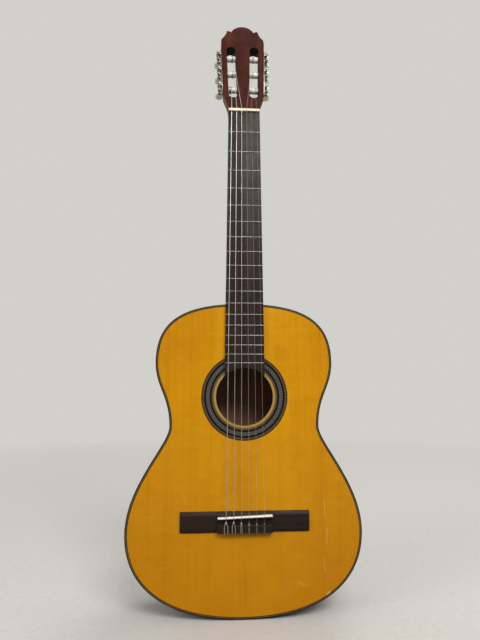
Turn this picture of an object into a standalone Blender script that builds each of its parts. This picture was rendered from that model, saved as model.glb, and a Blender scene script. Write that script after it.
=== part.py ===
"""Classical guitar, built as the separate wooden, bone, metal and nylon pieces it is glued and
screwed together from.

Frame: +Z runs up the neck, +X is the treble side, the soundboard faces -Y and the back is at +Y.
The origin is on the floor under the tail, in the middle of the guitar's depth from the strings to
the back.  The pieces are first laid out with the soundboard's outer face in the plane y = 0, and
moved to that origin at the end.  Lengths below are in millimetres; MM turns them into metres.
"""
import math
from typing import NamedTuple

import bmesh
import bpy
from mathutils import Matrix, Vector

MM = 0.001

# ---------------------------------------------------------------- driving dimensions (mm, deg)
SCALE_LENGTH = 650.0          # nut edge to nominal saddle line
BODY_LENGTH = 478.0           # tail to the body joint, which is the 12th fret
NUT_EDGE_Z = BODY_LENGTH + SCALE_LENGTH / 2.0
GLUE_GAP = 0.05               # left at every glued face
CENTRE_DEPTH = 43.25          # soundboard's face to the middle of the whole depth

# body outline: half widths and heights of the bouts and waist
UPPER_BOUT_HALF, UPPER_BOUT_Z = 140.0, 385.0
WAIST_HALF, WAIST_Z = 117.0, 284.0
LOWER_BOUT_HALF, LOWER_BOUT_Z = 182.0, 126.0
# Bezier handle lengths of the half outline, from the neck joint round to the tail
HANDLE_NECK, HANDLE_UPPER_TOP = 98.0, 65.0
HANDLE_UPPER_LOW, HANDLE_WAIST_TOP = 40.0, 48.0
HANDLE_WAIST_LOW, HANDLE_LOWER_TOP = 26.0, 70.0
HANDLE_LOWER_LOW, HANDLE_TAIL = 77.0, 119.0
TAIL_FLAT_HALF = 12.0         # the tail is flat for this far each side of the centre line
OUTLINE_STEPS = 8             # straight pieces per Bezier segment

# body shell
DEPTH_TAIL = 100.0            # body depth at the tail
DEPTH_NECK = 94.0             # body depth at the neck joint
NOMINAL_BACK = 120.0          # back faces are built at this depth, then sloped to the taper
SOUNDBOARD_T = 2.5
BACK_T = 2.8
RIB_T = 2.2
BINDING_T = 2.2
BINDING_H = 6.0
LINING_T = 6.0
LINING_H = 14.0
CENTRE_SEAM_HALF = 0.3        # half the gap between the two ribs at the tail

SOUNDHOLE_Z = 330.0
SOUNDHOLE_R = 45.0
ROSETTE_IN_R, ROSETTE_OUT_R = 47.5, 68.0
ROSETTE_T = 1.1
ROSETTE_CLEARANCE = 0.1
CIRCLE_SIDES = 40             # soundhole and rosette

TAIL_BLOCK_HALF, TAIL_BLOCK_T = 40.0, 16.0
HEEL_BLOCK_HALF, HEEL_BLOCK_T = 32.0, 30.0
TENON_HALF, TENON_L = 9.0, 14.0
TENON_FRONT_Y, TENON_BACK_Y = 8.0, 80.0
TENON_CLEARANCE, TENON_END_CLEARANCE = 0.1, 0.2

# bridge and saddle; heights are in front of the soundboard
BRIDGE_HALF = 99.0
BRIDGE_LOW_Z, BRIDGE_HIGH_Z = 126.0, 157.0
BRIDGE_WING_H = 4.0
BRIDGE_BLOCK_HALF = 42.0
TIE_HOLE_H = 5.4
SADDLE_Z = NUT_EDGE_Z - SCALE_LENGTH - 2.9     # compensated
SADDLE_T = 3.0
SADDLE_TOP = 12.4
SADDLE_SLOT_DEPTH = 1.2       # below the wings' top
SADDLE_SLANT = 1.95           # degrees, bass end further from the nut

# fingerboard and nut
FRET_COUNT = 18
FRET_R = 1.1
FINGERBOARD_T = 6.5
FINGERBOARD_HALF_NUT = 26.0
FINGERBOARD_HALF_12 = 30.0
NUT_T = 5.0
NUT_BACK_Z = NUT_EDGE_Z + NUT_T
NUT_TOP = 9.3
NUT_FLOOR = 8.4               # height of the string slots' floors

# neck and heel
NECK_DEPTH_NUT, NECK_DEPTH_HEEL = 21.0, 23.0
JOINT_GAP = 0.4               # neck wood starts this far above the body joint
HEEL_END_Y = 91.2
HEEL_END_HALF, HEEL_END_L = 13.2, 20.5

# head: UP values run up the tilted head from the nut's back edge
HEAD_TILT = 12.5              # degrees back from the neck's line
HEAD_T = 19.5                 # with the faceplate
FACEPLATE_T = 2.0
HEAD_FACE_Y = -2.0            # faceplate's face at the back edge of the nut
HEAD_LOW_HALF, HEAD_LOW_UP = 35.0, 36.0
HEAD_TOP_HALF, HEAD_TOP_UP = 38.0, 141.0
HEAD_PEAK_UP = 187.5

# rollers and their slots
ROLLER_PITCH = 35.0
ROLLER_STEPS = (-1, 0, 1)     # the three machines of a side, in pitches from the middle one
MACHINE_UP = 84.5             # middle roller
ROLLER_DEPTH = 9.5            # roller axis behind the faceplate's face
ROLLER_R = 5.0
SLOT_OUT, SLOT_IN = 9.5, 25.0          # slot's walls, in from the head's side face
SLOT_LOW_Z, SLOT_TOP_Z = -58.0, 54.5   # slot's ends from the middle roller

# worm and gear
GEAR_TEETH = 14
WORM_PITCH_R = 3.25
GEAR_PITCH_R = 6.5
WORM_LEAD = 2.0 * math.pi * GEAR_PITCH_R / GEAR_TEETH
CENTRE_DISTANCE = WORM_PITCH_R + GEAR_PITCH_R
WORM_OUT = 5.4                # worm axis and gear mid plane, out from the head's side face
GEAR_TIP_R, GEAR_ROOT_R, GEAR_T = 7.2, 5.6, 3.0
GEAR_TIP_W, GEAR_ROOT_W = 0.75, 1.7
WORM_TIP_R, WORM_ROOT_R = 3.9, 2.3
WORM_TIP_W, WORM_ROOT_W = 0.7, 1.7
WORM_TURNS = 2.5

# machine side plates
PLATE_T = 1.2
PLATE_FRONT_Y, PLATE_BACK_Y = 3.0, 16.0
PLATE_LOW_Z, PLATE_TOP_Z = -46.0, 56.0
LUG_SPANS_Y = ((3.1, 4.2), (14.8, 16.4))   # front and rear faces of each worm's two lugs
LUG_R = 3.0


class StringSpec(NamedTuple):
    diameter: float
    roller_step: int          # which of ROLLER_STEPS it winds on


# string 1 is the thin treble one at +X, string 6 the thick bass one at -X
STRINGS = {
    1: StringSpec(0.71, -1), 2: StringSpec(0.82, 0), 3: StringSpec(1.02, 1),
    4: StringSpec(0.76, 1), 5: StringSpec(0.91, 0), 6: StringSpec(1.12, -1),
}
STRING_SPREAD_NUT = 42.0
STRING_SPREAD_SADDLE = 58.0
STRING_WRAPS = 1.5
WRAP_STEPS = 10               # chords per turn round the roller
STRING_CLEARANCE = 0.06       # over the saddle and the nut
STRING_ROLLER_X = {-1: 20.0, 0: 16.0, 1: 17.0}   # where each roller is met, across the head

SIDES = (("treble", 1), ("bass", -1))      # name and sign of x


# ---------------------------------------------------------------- materials
class Surface(NamedTuple):
    name: str
    colour: tuple
    roughness: float
    metallic: float = 0.0


SPRUCE = Surface("spruce_lacquered", colour=(0.72, 0.36, 0.04), roughness=0.25)
SPRUCE_RAW = Surface("spruce_raw", colour=(0.66, 0.50, 0.30), roughness=0.7)
SIDE_WOOD = Surface("mahogany_sides", colour=(0.23, 0.09, 0.04), roughness=0.28)
NECK_WOOD = Surface("mahogany_neck", colour=(0.25, 0.09, 0.045), roughness=0.35)
FACE_WOOD = Surface("faceplate_wood", colour=(0.17, 0.05, 0.03), roughness=0.3)
BLOCK_WOOD = Surface("block_wood", colour=(0.42, 0.26, 0.14), roughness=0.7)
ROSEWOOD = Surface("rosewood", colour=(0.045, 0.022, 0.018), roughness=0.45)
BOARD_WOOD = Surface("fingerboard_wood", colour=(0.055, 0.026, 0.020), roughness=0.5)
BINDING = Surface("binding_dark", colour=(0.02, 0.014, 0.012), roughness=0.3)
BONE = Surface("bone_ivory", colour=(0.86, 0.83, 0.72), roughness=0.35)
MOSAIC = Surface("rosette_mosaic", colour=(0.16, 0.17, 0.18), roughness=0.4)
NICKEL = Surface("nickel", colour=(0.66, 0.65, 0.61), roughness=0.25, metallic=1.0)
STEEL = Surface("worm_steel", colour=(0.60, 0.59, 0.56), roughness=0.25, metallic=1.0)
BRASS = Surface("gear_brass", colour=(0.70, 0.58, 0.34), roughness=0.3, metallic=1.0)
NYLON = Surface("roller_nylon", colour=(0.84, 0.83, 0.78), roughness=0.4)
PEARL = Surface("button_pearl", colour=(0.86, 0.84, 0.78), roughness=0.2)
WOUND = Surface("wound_string", colour=(0.72, 0.71, 0.68), roughness=0.3, metallic=1.0)
CLEAR = Surface("nylon_string", colour=(0.80, 0.79, 0.76), roughness=0.25)

# ---------------------------------------------------------------- a clean scene
for old in list(bpy.data.objects):
    bpy.data.objects.remove(old, do_unlink=True)

guitar = bpy.data.collections.new("classical_guitar")
cutters = bpy.data.collections.new("cutters")       # solids used up by the Booleans
bpy.context.scene.collection.children.link(guitar)
bpy.context.scene.collection.children.link(cutters)


# ---------------------------------------------------------------- helpers
def finish(obj, surface, smooth_angle=None):
    """Give an object its own material and, with an angle in degrees, smooth shading."""
    mat = bpy.data.materials.new(obj.name + "_" + surface.name)
    mat.use_nodes = True
    inputs = mat.node_tree.nodes["Principled BSDF"].inputs
    inputs["Base Color"].default_value = (*surface.colour, 1.0)
    inputs["Roughness"].default_value = surface.roughness
    inputs["Metallic"].default_value = surface.metallic
    mat.diffuse_color = (*surface.colour, 1.0)
    obj.data.materials.clear()
    obj.data.materials.append(mat)
    if smooth_angle is not None:
        obj.data.shade_smooth()
        obj.data.set_sharp_from_angle(angle=math.radians(smooth_angle))


def face_outwards(edit):
    bmesh.ops.recalc_face_normals(edit, faces=edit.faces)
    if edit.calc_volume(signed=True) < 0:
        bmesh.ops.reverse_faces(edit, faces=edit.faces)


def mesh_object(name, edit, coll=guitar, matrix=None):
    mesh = bpy.data.meshes.new(name)
    edit.to_mesh(mesh)
    edit.free()
    obj = bpy.data.objects.new(name, mesh)
    coll.objects.link(obj)
    if matrix is not None:
        obj.matrix_world = matrix
    return obj


def evaluated_mesh(obj):
    bpy.context.view_layer.update()
    deps = bpy.context.evaluated_depsgraph_get()
    return bpy.data.meshes.new_from_object(obj.evaluated_get(deps), depsgraph=deps)


def welded(obj, name, coll=guitar, fill=False):
    """Replace the object by its evaluated shape as a plain closed mesh, in the same place."""
    mesh = evaluated_mesh(obj)
    matrix = obj.matrix_world.copy()
    edit = bmesh.new()
    edit.from_mesh(mesh)
    bmesh.ops.remove_doubles(edit, verts=edit.verts, dist=1e-6)
    bmesh.ops.dissolve_degenerate(edit, edges=edit.edges, dist=1e-7)
    if fill:
        rims = [edge for edge in edit.edges if edge.is_boundary]
        bmesh.ops.holes_fill(edit, edges=rims, sides=0)
    face_outwards(edit)
    edit.to_mesh(mesh)
    edit.free()
    bpy.data.objects.remove(obj, do_unlink=True)
    new = bpy.data.objects.new(name, mesh)
    coll.objects.link(new)
    new.matrix_world = matrix
    return new


def add_poly_spline(curve, points):
    spline = curve.splines.new("POLY")
    spline.points.add(len(points) - 1)
    for target, point in zip(spline.points, points):
        target.co = (*point, 1.0)
    return spline


def extruded(name, loops, thickness, coll, place):
    """Closed loops in a curve's own x and y, filled between, extruded both ways along its z."""
    curve = bpy.data.curves.new(name + "_outline", "CURVE")
    curve.dimensions = "2D"
    curve.fill_mode = "BOTH"
    curve.extrude = thickness / 2.0 * MM
    curve.resolution_u = 1
    for loop in loops:
        spline = add_poly_spline(curve, [(p * MM, q * MM, 0.0) for p, q in loop])
        spline.use_cyclic_u = True
    obj = bpy.data.objects.new(name + "_outline", curve)
    coll.objects.link(obj)
    obj.matrix_world = place
    return welded(obj, name, coll)


CURVE_TO_XZ = Matrix.Rotation(math.radians(90.0), 4, "X")     # curve's x, y, z to x, z, -y
CURVE_TO_YZ = Matrix(((0.0, 0.0, 1.0, 0.0), (1.0, 0.0, 0.0, 0.0),
                      (0.0, 1.0, 0.0, 0.0), (0.0, 0.0, 0.0, 1.0)))    # to y, z, x


def slab(name, loops, y0, y1, coll=guitar, frame=None):
    """A flat outline of (x, z) loops, filled between them, from y0 to y1."""
    place = Matrix.Translation((0.0, (y0 + y1) / 2.0 * MM, 0.0)) @ CURVE_TO_XZ
    if frame is not None:
        place = frame @ place
    return extruded(name, loops, y1 - y0, coll, place)


def profile_bar(name, loop, x0, x1, frame=None):
    """A side outline of (y, z) points, extruded from x0 to x1."""
    place = Matrix.Translation(((x0 + x1) / 2.0 * MM, 0.0, 0.0)) @ CURVE_TO_YZ
    if frame is not None:
        place = frame @ place
    return extruded(name, [loop], x1 - x0, guitar, place)


def box(name, low, high, coll=guitar, frame=None):
    edit = bmesh.new()
    bmesh.ops.create_cube(edit, size=1.0)
    size = [(end - start) * MM for start, end in zip(low, high)]
    centre = [(start + end) / 2.0 * MM for start, end in zip(low, high)]
    bmesh.ops.scale(edit, vec=size, verts=edit.verts)
    bmesh.ops.translate(edit, vec=centre, verts=edit.verts)
    return mesh_object(name, edit, coll, frame)


def rod(name, start, end, radius, sides, frame=None, end_radius=None):
    """A closed cylinder, or a cone with an end radius, between two points (mm), as a cutter."""
    start, end = Vector(start) * MM, Vector(end) * MM
    if end_radius is None:
        end_radius = radius
    edit = bmesh.new()
    bmesh.ops.create_cone(edit, cap_ends=True, segments=sides, radius1=radius * MM,
                          radius2=end_radius * MM, depth=(end - start).length)
    turn = (end - start).to_track_quat("Z", "Y").to_matrix().to_4x4()
    place = Matrix.Translation((start + end) / 2.0) @ turn
    bmesh.ops.transform(edit, matrix=place, verts=edit.verts)
    return mesh_object(name, edit, cutters, frame)


def swept(name, profile, steps, turns=1.0, lead=0.0, closed=False):
    """(radius, height) points swept round Z by Screw.

    An open profile starts and ends on the axis and makes one full turn; a closed one makes a
    helix, whose two ends are filled.
    """
    count = len(profile)
    edges = [(i, (i + 1) % count) for i in range(count if closed else count - 1)]
    mesh = bpy.data.meshes.new(name)
    mesh.from_pydata([(radius * MM, 0.0, height * MM) for radius, height in profile], edges, [])
    obj = bpy.data.objects.new(name + "_profile", mesh)
    cutters.objects.link(obj)
    screw = obj.modifiers.new("turn", "SCREW")
    screw.axis = "Z"
    screw.steps = steps
    screw.render_steps = steps
    screw.angle = 2.0 * math.pi * turns
    screw.screw_offset = lead * turns * MM
    screw.use_merge_vertices = not closed
    screw.merge_threshold = 1e-6
    return welded(obj, name, cutters, fill=closed)


def combine(obj, other, operation):
    """Apply an exact Boolean of obj with other, which is then removed."""
    mod = obj.modifiers.new(operation.lower(), "BOOLEAN")
    mod.operation = operation
    mod.solver = "EXACT"
    mod.object = other
    mesh = evaluated_mesh(obj)
    obj.modifiers.clear()
    obj.data = mesh
    edit = bmesh.new()
    edit.from_mesh(mesh)
    bmesh.ops.remove_doubles(edit, verts=edit.verts, dist=1e-7)
    bmesh.ops.dissolve_degenerate(edit, edges=edit.edges, dist=1e-8)
    edit.to_mesh(mesh)
    edit.free()
    bpy.data.objects.remove(other, do_unlink=True)


def tidy(obj):
    """Merge flat neighbouring faces that the Booleans left split."""
    edit = bmesh.new()
    edit.from_mesh(obj.data)
    bmesh.ops.dissolve_limit(edit, angle_limit=math.radians(0.05), use_dissolve_boundaries=False,
                             verts=edit.verts, edges=edit.edges)
    bmesh.ops.triangulate(edit, faces=[face for face in edit.faces if len(face.verts) > 4])
    edit.to_mesh(obj.data)
    edit.free()


# ---------------------------------------------------------------- the body's outline
def bezier(handles, t):
    s = 1.0 - t
    return tuple(s ** 3 * p + 3 * s * s * t * q + 3 * s * t * t * r + t ** 3 * u
                 for p, q, r, u in zip(*handles))


def bezier_slope(handles, t):
    s = 1.0 - t
    return tuple(3 * s * s * (q - p) + 6 * s * t * (r - q) + 3 * t * t * (u - r)
                 for p, q, r, u in zip(*handles))


def half_outline():
    """(x, z) points and outward normals on the treble side, neck joint to tail."""
    top = (0.0, BODY_LENGTH)
    upper = (UPPER_BOUT_HALF, UPPER_BOUT_Z)
    waist = (WAIST_HALF, WAIST_Z)
    lower = (LOWER_BOUT_HALF, LOWER_BOUT_Z)
    tail = (0.0, 0.0)
    segments = [
        (top, (HANDLE_NECK, BODY_LENGTH),
         (UPPER_BOUT_HALF, UPPER_BOUT_Z + HANDLE_UPPER_TOP), upper),
        (upper, (UPPER_BOUT_HALF, UPPER_BOUT_Z - HANDLE_UPPER_LOW),
         (WAIST_HALF, WAIST_Z + HANDLE_WAIST_TOP), waist),
        (waist, (WAIST_HALF, WAIST_Z - HANDLE_WAIST_LOW),
         (LOWER_BOUT_HALF, LOWER_BOUT_Z + HANDLE_LOWER_TOP), lower),
        (lower, (LOWER_BOUT_HALF, LOWER_BOUT_Z - HANDLE_LOWER_LOW), (HANDLE_TAIL, 0.0), tail),
    ]
    points, normals = [], []
    for segment in segments:
        # only the last segment includes its end point
        for step in range(OUTLINE_STEPS + (segment is segments[-1])):
            t = step / OUTLINE_STEPS
            slope_x, slope_z = bezier_slope(segment, t)
            length = math.hypot(slope_x, slope_z)
            points.append(bezier(segment, t))
            normals.append((-slope_z / length, slope_x / length))
    points.insert(-1, (TAIL_FLAT_HALF, 0.0))
    normals.insert(-1, (0.0, -1.0))
    return points, normals


OUTLINE, NORMALS = half_outline()
LAST = len(OUTLINE) - 1


def inset(distance):
    """The half outline moved inwards by a distance."""
    return [(x - normal_x * distance, z - normal_z * distance)
            for (x, z), (normal_x, normal_z) in zip(OUTLINE, NORMALS)]


def mirrored(points):
    return [(-x, z) for x, z in points]


def ring(distance):
    """The whole outline, inset, as one closed loop."""
    half = inset(distance)
    return half + mirrored(half[-2:0:-1])


def clip(points, first, last):
    """Part of a polyline between two fractional indices."""
    def at(index):
        i = min(int(index), len(points) - 2)
        fraction = index - i
        return tuple(p + (q - p) * fraction for p, q in zip(points[i], points[i + 1]))
    inner = [points[i] for i in range(len(points)) if first + 1e-6 < i < last - 1e-6]
    return [at(first)] + inner + [at(last)]


def index_at_x(points, x, from_tail=False):
    """Fractional index where a half outline first reaches x, from the neck or from the tail."""
    order = range(len(points) - 1)
    for i in reversed(order) if from_tail else order:
        start, end = points[i][0], points[i + 1][0]
        if min(start, end) <= x <= max(start, end):
            return i + (x - start) / (end - start)
    raise ValueError(f"the outline never reaches x = {x}")


def back_y(z):
    """Depth of the back's outer face at height z."""
    return DEPTH_TAIL + (DEPTH_NECK - DEPTH_TAIL) * z / BODY_LENGTH


def seat_on_back(obj, at_y, below):
    """Slope the faces that lie at at_y to follow the back's taper, at a depth below its face."""
    inverse = obj.matrix_world.inverted()
    for vert in obj.data.vertices:
        point = obj.matrix_world @ vert.co
        if abs(point.y - at_y * MM) < 1e-5:
            point.y = (back_y(point.z / MM) - below) * MM
            vert.co = inverse @ point


# ---------------------------------------------------------------- body shell
def circle(radius):
    """A loop round the soundhole's centre."""
    angles = [2 * math.pi * i / CIRCLE_SIDES for i in range(CIRCLE_SIDES)]
    return [(radius * math.sin(angle), SOUNDHOLE_Z + radius * math.cos(angle))
            for angle in angles]


def build_soundboard():
    soundboard = slab("soundboard", [ring(BINDING_T + GLUE_GAP)], 0.0, SOUNDBOARD_T)
    hole = rod("soundhole_cutter", (0, -5, SOUNDHOLE_Z), (0, 10, SOUNDHOLE_Z),
               SOUNDHOLE_R, CIRCLE_SIDES)
    combine(soundboard, hole, "DIFFERENCE")
    loops = [circle(ROSETTE_OUT_R + ROSETTE_CLEARANCE), circle(ROSETTE_IN_R - ROSETTE_CLEARANCE)]
    groove = slab("rosette_cutter", loops, -1.0, ROSETTE_T + ROSETTE_CLEARANCE, cutters)
    combine(soundboard, groove, "DIFFERENCE")
    tidy(soundboard)
    finish(soundboard, SPRUCE)


def build_rosette():
    rosette = slab("rosette", [circle(ROSETTE_OUT_R), circle(ROSETTE_IN_R)], 0.0, ROSETTE_T)
    finish(rosette, MOSAIC)


def back_slab(name, loops, thickness, inner_below, outer_below):
    """A slab whose two faces both follow the back's taper, at the given depths below it."""
    obj = slab(name, loops, NOMINAL_BACK - thickness, NOMINAL_BACK)
    seat_on_back(obj, NOMINAL_BACK - thickness, inner_below)
    seat_on_back(obj, NOMINAL_BACK, outer_below)
    return obj


def build_back_plate():
    back_plate = back_slab("back_plate", [ring(BINDING_T + GLUE_GAP)], 5.0, BACK_T, 0.0)
    finish(back_plate, SIDE_WOOD)


def build_bindings():
    top_binding = slab("top_binding", [ring(0.0), ring(BINDING_T)], 0.0, BINDING_H)
    finish(top_binding, BINDING, 30)
    back_binding = back_slab("back_binding", [ring(0.0), ring(BINDING_T)], 5.0, BINDING_H, 0.0)
    finish(back_binding, BINDING, 30)


def strip_loop(out_distance, in_distance, first, last, sign):
    """A bent strip of wood between two insets, along part of one side."""
    outer = clip(inset(out_distance), first, last)
    inner = clip(inset(in_distance), first, last)
    loop = outer + inner[::-1]
    return loop if sign > 0 else mirrored(loop)


def build_rib(side, sign):
    """One side of the body, from beside the tenon to the seam at the tail."""
    tenon_from = index_at_x(OUTLINE, TENON_HALF + 0.3)
    centre_to = LAST - CENTRE_SEAM_HALF / TAIL_FLAT_HALF
    edge = BINDING_H + GLUE_GAP
    rib = slab("rib_" + side, [strip_loop(0.0, RIB_T, tenon_from, centre_to, sign)],
               edge, NOMINAL_BACK)
    seat_on_back(rib, NOMINAL_BACK, edge)
    finish(rib, SIDE_WOOD, 30)


def build_linings(side, sign):
    """Strips inside the rib, against the soundboard and against the back."""
    heel_from = index_at_x(inset(RIB_T), HEEL_BLOCK_HALF + 1.2)
    tail_to = index_at_x(inset(RIB_T), TAIL_BLOCK_HALF + 2.5, from_tail=True)
    loop = strip_loop(RIB_T + GLUE_GAP, RIB_T + LINING_T, heel_from, tail_to, sign)
    top_lining = slab("top_lining_" + side, [loop], SOUNDBOARD_T + GLUE_GAP,
                      SOUNDBOARD_T + LINING_H)
    finish(top_lining, BLOCK_WOOD, 30)
    glue_line = BACK_T + GLUE_GAP
    back_lining = back_slab("back_lining_" + side, [loop], 10.0, glue_line + LINING_H, glue_line)
    finish(back_lining, BLOCK_WOOD, 30)


def end_block(name, loop):
    """A block the full inside depth of the body."""
    block = slab(name, [loop], SOUNDBOARD_T + GLUE_GAP, NOMINAL_BACK)
    seat_on_back(block, NOMINAL_BACK, BACK_T + GLUE_GAP)
    return block


def build_heel_block():
    """The block at the neck joint; its curved face follows the ribs' inner face."""
    inner_line = inset(RIB_T + GLUE_GAP)
    arc = clip(inner_line, 0.0, index_at_x(inner_line, HEEL_BLOCK_HALF))
    low_z = BODY_LENGTH - HEEL_BLOCK_T
    flat = [(HEEL_BLOCK_HALF, low_z), (-HEEL_BLOCK_HALF, low_z)]
    block = end_block("heel_block", arc + flat + mirrored(arc[:0:-1]))
    half = TENON_HALF + TENON_CLEARANCE
    mortise = box(
        "mortise_cutter",
        (-half, TENON_FRONT_Y - TENON_CLEARANCE, BODY_LENGTH - TENON_L - TENON_END_CLEARANCE),
        (half, TENON_BACK_Y + TENON_CLEARANCE, BODY_LENGTH + 5.0), cutters)
    combine(block, mortise, "DIFFERENCE")
    tidy(block)
    finish(block, BLOCK_WOOD)


def build_tail_block():
    """The block at the tail; its curved face follows the ribs' inner face."""
    inner_line = inset(RIB_T + GLUE_GAP)
    arc = clip(inner_line, index_at_x(inner_line, TAIL_BLOCK_HALF, from_tail=True), LAST)
    top_z = RIB_T + TAIL_BLOCK_T
    loop = [(TAIL_BLOCK_HALF, top_z)] + arc + mirrored(arc[-2::-1]) + [(-TAIL_BLOCK_HALF, top_z)]
    finish(end_block("tail_block", loop), BLOCK_WOOD)


# ---------------------------------------------------------------- braces inside the body
# name, start (x, z), end (x, z), width, height, height at the ends, length of each end's scoop
TOP_BRACES = (
    ("upper_harmonic_bar", (-128.0, 396.0), (128.0, 396.0), 8.0, 15.0, 4.0, 40.0),
    ("lower_harmonic_bar", (-106.0, 268.0), (106.0, 268.0), 8.0, 15.0, 4.0, 36.0),
    ("fan_brace_centre", (0.0, 46.0), (0.0, 262.0), 6.0, 6.0, 1.5, 36.0),
    ("fan_brace_treble", (76.0, 54.0), (34.0, 262.0), 6.0, 6.0, 1.5, 36.0),
    ("fan_brace_bass", (-76.0, 54.0), (-34.0, 262.0), 6.0, 6.0, 1.5, 36.0),
)
BACK_BRACES = (
    ("back_bar_upper", (-128.0, 396.0), (128.0, 396.0), 8.0, 14.0, 4.0, 40.0),
    ("back_bar_middle", (-107.0, 272.0), (107.0, 272.0), 8.0, 14.0, 4.0, 36.0),
    ("back_bar_lower", (-170.0, 130.0), (170.0, 130.0), 8.0, 14.0, 4.0, 50.0),
)


def brace(name, start, end, width, height, end_height, scoop, base_y, rise):
    """A bar standing on base_y, towards the back (rise 1) or the soundboard (rise -1)."""
    (start_x, start_z), (end_x, end_z) = start, end
    half = math.hypot(end_x - start_x, end_z - start_z) / 2.0
    loop = [(0.0, -half), (end_height, -half), (height, -half + scoop), (height, half - scoop),
            (end_height, half), (0.0, half)]
    loop = [(rise * y, z) for y, z in loop]
    # the bar's length runs along its local z; turn it in the plane of the plate
    turn = Matrix.Rotation(math.atan2(end_x - start_x, end_z - start_z), 4, "Y")
    place = Matrix.Translation(((start_x + end_x) / 2.0 * MM, base_y * MM,
                                (start_z + end_z) / 2.0 * MM))
    return profile_bar(name, loop, -width / 2.0, width / 2.0, place @ turn)


def build_braces():
    for row in TOP_BRACES:
        finish(brace(*row, base_y=SOUNDBOARD_T + GLUE_GAP, rise=1), SPRUCE_RAW)
    for row in BACK_BRACES:
        obj = brace(*row, base_y=NOMINAL_BACK, rise=-1)
        # shear the whole bar on to the tapered back's inner face
        inverse = obj.matrix_world.inverted()
        for vert in obj.data.vertices:
            point = obj.matrix_world @ vert.co
            point.y += (back_y(point.z / MM) - BACK_T - GLUE_GAP - NOMINAL_BACK) * MM
            vert.co = inverse @ point
        finish(obj, SPRUCE_RAW)


# ---------------------------------------------------------------- bridge and saddle
# side outlines as (y, z): the middle block with its tie block at the low end, and the wings
BRIDGE_BLOCK_PROFILE = [
    (-GLUE_GAP, BRIDGE_LOW_Z), (-GLUE_GAP, BRIDGE_HIGH_Z),
    (-BRIDGE_WING_H + 0.6, BRIDGE_HIGH_Z), (-BRIDGE_WING_H - 3.6, BRIDGE_HIGH_Z - 4.2),
    (-BRIDGE_WING_H - 4.2, BRIDGE_HIGH_Z - 5.0), (-BRIDGE_WING_H - 4.2, BRIDGE_LOW_Z + 20.4),
    (-BRIDGE_WING_H + 0.4, BRIDGE_LOW_Z + 18.6), (-BRIDGE_WING_H + 0.4, BRIDGE_LOW_Z + 13.0),
    (-9.2, BRIDGE_LOW_Z + 12.2), (-9.8, BRIDGE_LOW_Z + 11.4),
    (-9.8, BRIDGE_LOW_Z + 1.2), (-9.2, BRIDGE_LOW_Z + 0.4), (-6.0, BRIDGE_LOW_Z),
]
BRIDGE_WING_PROFILE = [
    (-GLUE_GAP, BRIDGE_LOW_Z + 0.02), (-GLUE_GAP, BRIDGE_HIGH_Z - 0.02),
    (-1.6, BRIDGE_HIGH_Z - 0.02), (-BRIDGE_WING_H + 0.6, BRIDGE_HIGH_Z - 2.2),
    (-BRIDGE_WING_H, BRIDGE_HIGH_Z - 7.0), (-BRIDGE_WING_H, BRIDGE_LOW_Z + 7.0),
    (-BRIDGE_WING_H + 0.6, BRIDGE_LOW_Z + 2.2), (-1.6, BRIDGE_LOW_Z + 0.02),
]
SADDLE_SLOT_Y = -BRIDGE_WING_H + SADDLE_SLOT_DEPTH
SADDLE_EDGE = 0.8, 0.7        # height and width of the saddle's bevelled top edges
SADDLE_FRAME = (Matrix.Translation((0.0, 0.0, SADDLE_Z * MM))
                @ Matrix.Rotation(math.radians(-SADDLE_SLANT), 4, "Y"))
TIE_HOLE_R = 0.9


def string_x(number, spread):
    """String 6 on the bass side, string 1 on the treble side."""
    return spread * (0.5 - (number - 1) / 5.0)


def build_bridge():
    bridge = profile_bar("bridge", BRIDGE_BLOCK_PROFILE, -BRIDGE_BLOCK_HALF, BRIDGE_BLOCK_HALF)
    wings = profile_bar("bridge_wings", BRIDGE_WING_PROFILE, -BRIDGE_HALF, BRIDGE_HALF)
    combine(bridge, wings, "UNION")
    slot_half = BRIDGE_BLOCK_HALF + 1.0
    slot_side = SADDLE_T / 2 + GLUE_GAP
    slot = box("saddle_slot_cutter", (-slot_half, -20.0, -slot_side),
               (slot_half, SADDLE_SLOT_Y, slot_side), cutters, SADDLE_FRAME)
    combine(bridge, slot, "DIFFERENCE")
    for number in STRINGS:
        x = string_x(number, STRING_SPREAD_SADDLE)
        drill = rod("tie_hole_cutter", (x, -TIE_HOLE_H, BRIDGE_LOW_Z - 5.0),
                    (x, -TIE_HOLE_H, BRIDGE_LOW_Z + 16.0), TIE_HOLE_R, 8)
        combine(bridge, drill, "DIFFERENCE")
    tidy(bridge)
    finish(bridge, ROSEWOOD)


def build_saddle():
    side = SADDLE_T / 2
    floor = SADDLE_SLOT_Y - GLUE_GAP
    edge_height, edge_width = SADDLE_EDGE
    profile = [
        (floor, -side), (floor, side), (-SADDLE_TOP + edge_height, side),
        (-SADDLE_TOP, side - edge_width), (-SADDLE_TOP, -side + edge_width),
        (-SADDLE_TOP + edge_height, -side),
    ]
    half = BRIDGE_BLOCK_HALF - 0.2
    finish(profile_bar("saddle", profile, -half, half, SADDLE_FRAME), BONE)


# ---------------------------------------------------------------- fingerboard and nut
FRET_AXIS_Y = -FINGERBOARD_T + 0.13
FRET_END_INSET = 0.2
NUT_SLOT_CLEARANCE = 0.15     # each side of the string


def fret_z(number):
    return NUT_EDGE_Z - SCALE_LENGTH * (1.0 - 2.0 ** (-number / 12.0))


def towards_joint(z):
    """0 at the nut edge, 1 at the body joint."""
    return (NUT_EDGE_Z - z) / (SCALE_LENGTH / 2.0)


def board_half(z):
    return FINGERBOARD_HALF_NUT + (FINGERBOARD_HALF_12 - FINGERBOARD_HALF_NUT) * towards_joint(z)


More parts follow.
